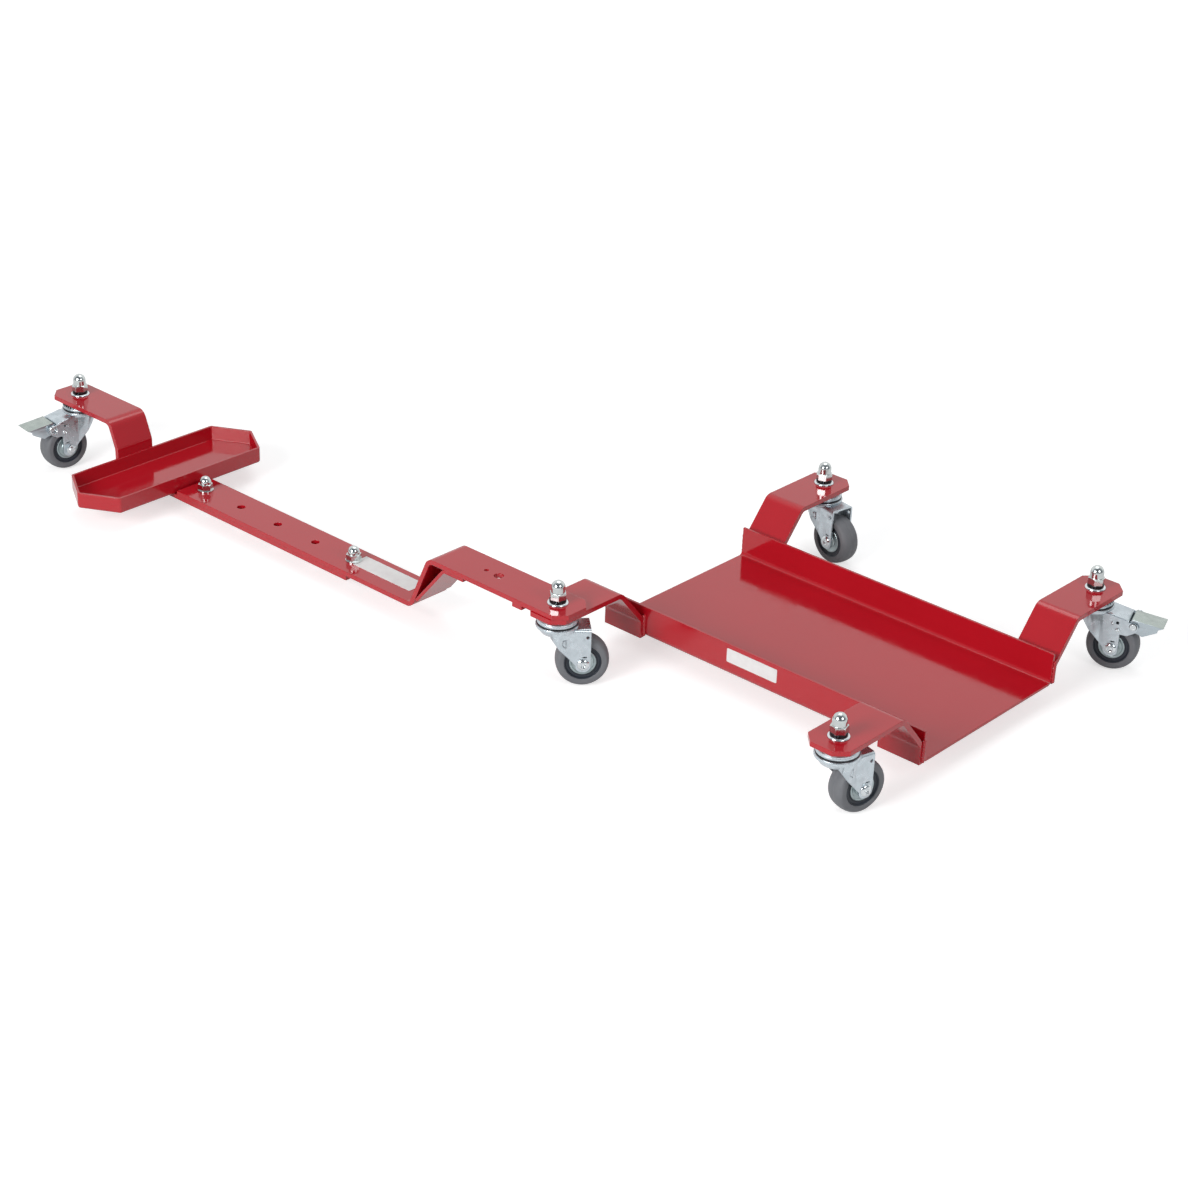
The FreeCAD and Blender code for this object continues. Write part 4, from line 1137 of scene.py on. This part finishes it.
@dataclass
class StemFasteners:
    """Flat washers and split spring washers under the cap nuts; the spring washers' black is painted shade and dark
    reflection under the nuts.
    """

    finishes: Finishes
    inner_r: float = 6.5
    outer_r: float = 10.0
    thick: float = 3.5
    seat: float = 101.0
    plate: float = 6.0
    split: float = 14.0
    flat_r: float = 12.5
    flat_t: float = 2.5

    def washer(self) -> bpy.types.Object:
        """Spring washer, wound from bar and cut at a slant."""
        clear_selection()
        middle = (self.inner_r + self.outer_r) / 2
        bpy.ops.mesh.primitive_plane_add(size=1.0, location=(middle * MM, 0.0, self.thick / 2 * MM),
                                         rotation=(math.radians(90.0), 0.0, 0.0))
        piece = bpy.context.active_object
        piece.name = "spring_washer_pattern"
        piece.scale = ((self.outer_r - self.inner_r) * MM, self.thick * MM, 1.0)
        keep_place()
        enter_edit()
        select_all()
        bpy.ops.mesh.bevel(offset=0.35 * MM, segments=2, affect="VERTICES")
        select_all()
        bpy.ops.mesh.spin(steps=60, angle=math.radians(360.0 - self.split), center=(0.0, 0.0, 0.0),
                          axis=(0.0, 0.0, 1.0))
        leave_edit()
        finish_mesh(piece)
        return piece

    def flat(self) -> bpy.types.Object:
        """Punched flat washer with a well rounded upper edge."""
        wide, low = self.flat_r, -self.flat_t
        return Turned("flat_washer_pattern", (
            (self.inner_r, low), (wide - 0.3, low), (wide, low + 0.3), (wide, low + 0.8), (wide - 0.3, low + 1.5),
            (wide - 0.9, low + 2.1), (wide - 1.7, low + 2.4), (wide - 2.4, 0.0), (self.inner_r, 0.0),
        ), ring=True, sides=64).build()

    def build(self) -> None:
        """Lay one washer of each kind over every stem."""
        pattern, flat = self.washer(), self.flat()
        rings, flats = [], []
        for caster in CASTERS:
            lift = self.plate if caster.name == "front_left" else 0.0
            stand = caster.stand(0.0, 0.0, self.seat + lift)
            turn = Matrix.Rotation(math.radians(-70.0 - caster.heading), 4, "Z")
            rings.append(copied(pattern, "ring", stand @ turn))
            flats.append(copied(flat, "flat", stand))
        # The black on the split washers paints the shade and dark reflection under the nuts.
        fit(joined(rings, "split_spring_washers"), "frame", "dark_steel", self.finishes.spring, "stem_lock_washers")
        fit(joined(flats, "flat_washers"), "frame", "zinc", self.finishes.bright, "stem_washers")
        drop(pattern)
        drop(flat)


@dataclass
class Welds:
    """Ripple-topped beads where the brackets stand on the deck and on the tray."""

    finishes: Finishes
    bead_r: float = 2.3
    pitch: float = 2.3
    drops: int = 12
    low: float = 29.0
    deck_face: float = 127.5
    plate_half: float = 28.5
    tray_face: float = -761.5
    tray_bracket_y: float = -261.0
    stands: tuple[float, float] = (0.0, 408.0)
    squash: float = 0.72
    swell: float = 0.12
    inset: float = 0.6
    voxel: float = 0.55

    def bead(self) -> bpy.types.Object:
        """Upright bead of overlapping drops."""
        lumps = []
        for step in range(self.drops):
            clear_selection()
            bpy.ops.mesh.primitive_uv_sphere_add(segments=20, ring_count=12, radius=self.bead_r * MM,
                                                 location=(0.0, 0.0, step * self.pitch * MM))
            lump = bpy.context.active_object
            lump.scale = (1.0, 1.0 + self.swell * (step % 3), self.squash)
            keep_place()
            lumps.append(lump)
        piece = joined(lumps, "bead_pattern")
        take(piece)
        remesh = piece.modifiers.new("melt", "REMESH")
        remesh.mode = "VOXEL"
        remesh.voxel_size = self.voxel * MM
        bpy.ops.object.modifier_apply(modifier="melt")
        soften = piece.modifiers.new("soften", "SMOOTH")
        soften.factor = 0.5
        soften.iterations = 2
        bpy.ops.object.modifier_apply(modifier="soften")
        finish_mesh(piece, 80.0)
        return piece

    def build(self) -> None:
        """Lay a bead down both edges of every bracket foot."""
        pattern = self.bead()
        edge = self.plate_half + 0.5
        feet = {f"weld_{label}_{'right' if x else 'left'}": [
                    Matrix.Translation(spot(x + end * edge, side * (self.deck_face + self.inset), self.low))
                    for end in (-1.0, 1.0)]
                for x in self.stands for side, label in ((1.0, "back"), (-1.0, "front"))}
        lower = Matrix.Scale(self.squash, 4, (0, 0, 1))
        feet["weld_tray"] = [
            Matrix.Translation(spot(self.tray_face - self.inset, self.tray_bracket_y + end * edge, self.low)) @ lower
            for end in (-1.0, 1.0)]
        for name, stands in feet.items():
            beads = [copied(pattern, "bead", stand) for stand in stands]
            fit(joined(beads, name), "frame", "red_paint", self.finishes.red)
        drop(pattern)


@dataclass
class Labels:
    """Two blank film labels, one on the deck's flange and one on the arm."""

    finishes: Finishes
    film: float = 0.3
    corner: float = 1.6
    flange_spot: tuple[float, float, float] = (193.0, -127.5, 52.0)
    flange_size: tuple[float, float] = (74.0, 17.5)
    arm_spot: tuple[float, float, float] = (-291.0, -243.5, 34.0)
    arm_size: tuple[float, float] = (105.0, 27.0)

    def plate(self, name: str, size: tuple[float, float]) -> bpy.types.Object:
        """Thin plate with rounded corners, lying on the zero plane.

        Args:
            name: Name of the piece.
            size: Length and height in millimetres.

        Returns:
            The plate.
        """
        clear_selection()
        bpy.ops.mesh.primitive_plane_add(size=1.0)
        piece = bpy.context.active_object
        piece.name = name
        piece.scale = (size[0] * MM, size[1] * MM, 1.0)
        keep_place()
        enter_edit()
        select_all()
        bpy.ops.mesh.bevel(offset=self.corner * MM, segments=5, affect="VERTICES")
        select_all()
        bpy.ops.mesh.extrude_region_move(TRANSFORM_OT_translate={"value": (0.0, 0.0, self.film * MM)})
        leave_edit()
        return piece

    def build(self) -> None:
        """Lay both labels."""
        upright = Matrix.Rotation(math.radians(90.0), 4, "X")
        for name, place, size, turn in (("flange_label", self.flange_spot, self.flange_size, upright),
                                        ("arm_label", self.arm_spot, self.arm_size, Matrix())):
            piece = self.plate(name, size)
            settle(piece, Matrix.Translation(spot(*place)) @ turn)
            finish_mesh(piece)
            fit(piece, "frame", None, self.finishes.label)


@dataclass
class SheetMetal:
    """Finishes of every node of the frame, whether its own mesh shows or a shaped piece stands for it."""

    nodes: dict[str, bpy.types.Object]
    finishes: Finishes

    def finish_of(self, name: str) -> bpy.types.Material:
        """Finish of a node of the frame.

        Args:
            name: Name of the node.

        Returns:
            Its material.
        """
        by_end = {"_fork": self.finishes.zinc, "_brake_pedal": self.finishes.pedal,
                  "_axle_bolt": self.finishes.bright, "_pedal_pin": self.finishes.bright,
                  "_tyre": self.finishes.tread, "_rim": self.finishes.core, "_hub": self.finishes.hub,
                  "_cap_nuts": self.finishes.chrome}
        # The black on the lock washers paints the shade and dark reflection under the nuts.
        by_name = {"caster_heads": self.finishes.zinc, "stem_washers": self.finishes.zinc,
                   "arm_bolts": self.finishes.zinc, "stem_lock_washers": self.finishes.spring}
        for end, material in by_end.items():
            if name.endswith(end):
                return material
        return by_name.get(name, self.finishes.red)

    def dress(self) -> None:
        """Put a finish on every piece that comes from the frame."""
        for name, node in self.nodes.items():
            dress(node, self.finish_of(name))
            LOG.info("%s is dressed", name)


def main() -> None:
    """Build the looks of the dolly."""
    logging.basicConfig(level=logging.INFO, format="%(name)s: %(message)s")
    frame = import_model()
    finishes = Finishes()
    SheetMetal(frame["nodes"], finishes).dress()
    for group in (PressedParts(frame["nodes"], finishes), Wheels(finishes), SwivelRaces(finishes),
                  Axles(finishes), BrakeDetails(finishes), StemFasteners(finishes), Welds(finishes),
                  Labels(finishes)):
        group.build()
    Studio(target=spot(-200.0, -60.0, 60.0)).build()


if __name__ == "__main__":
    main()
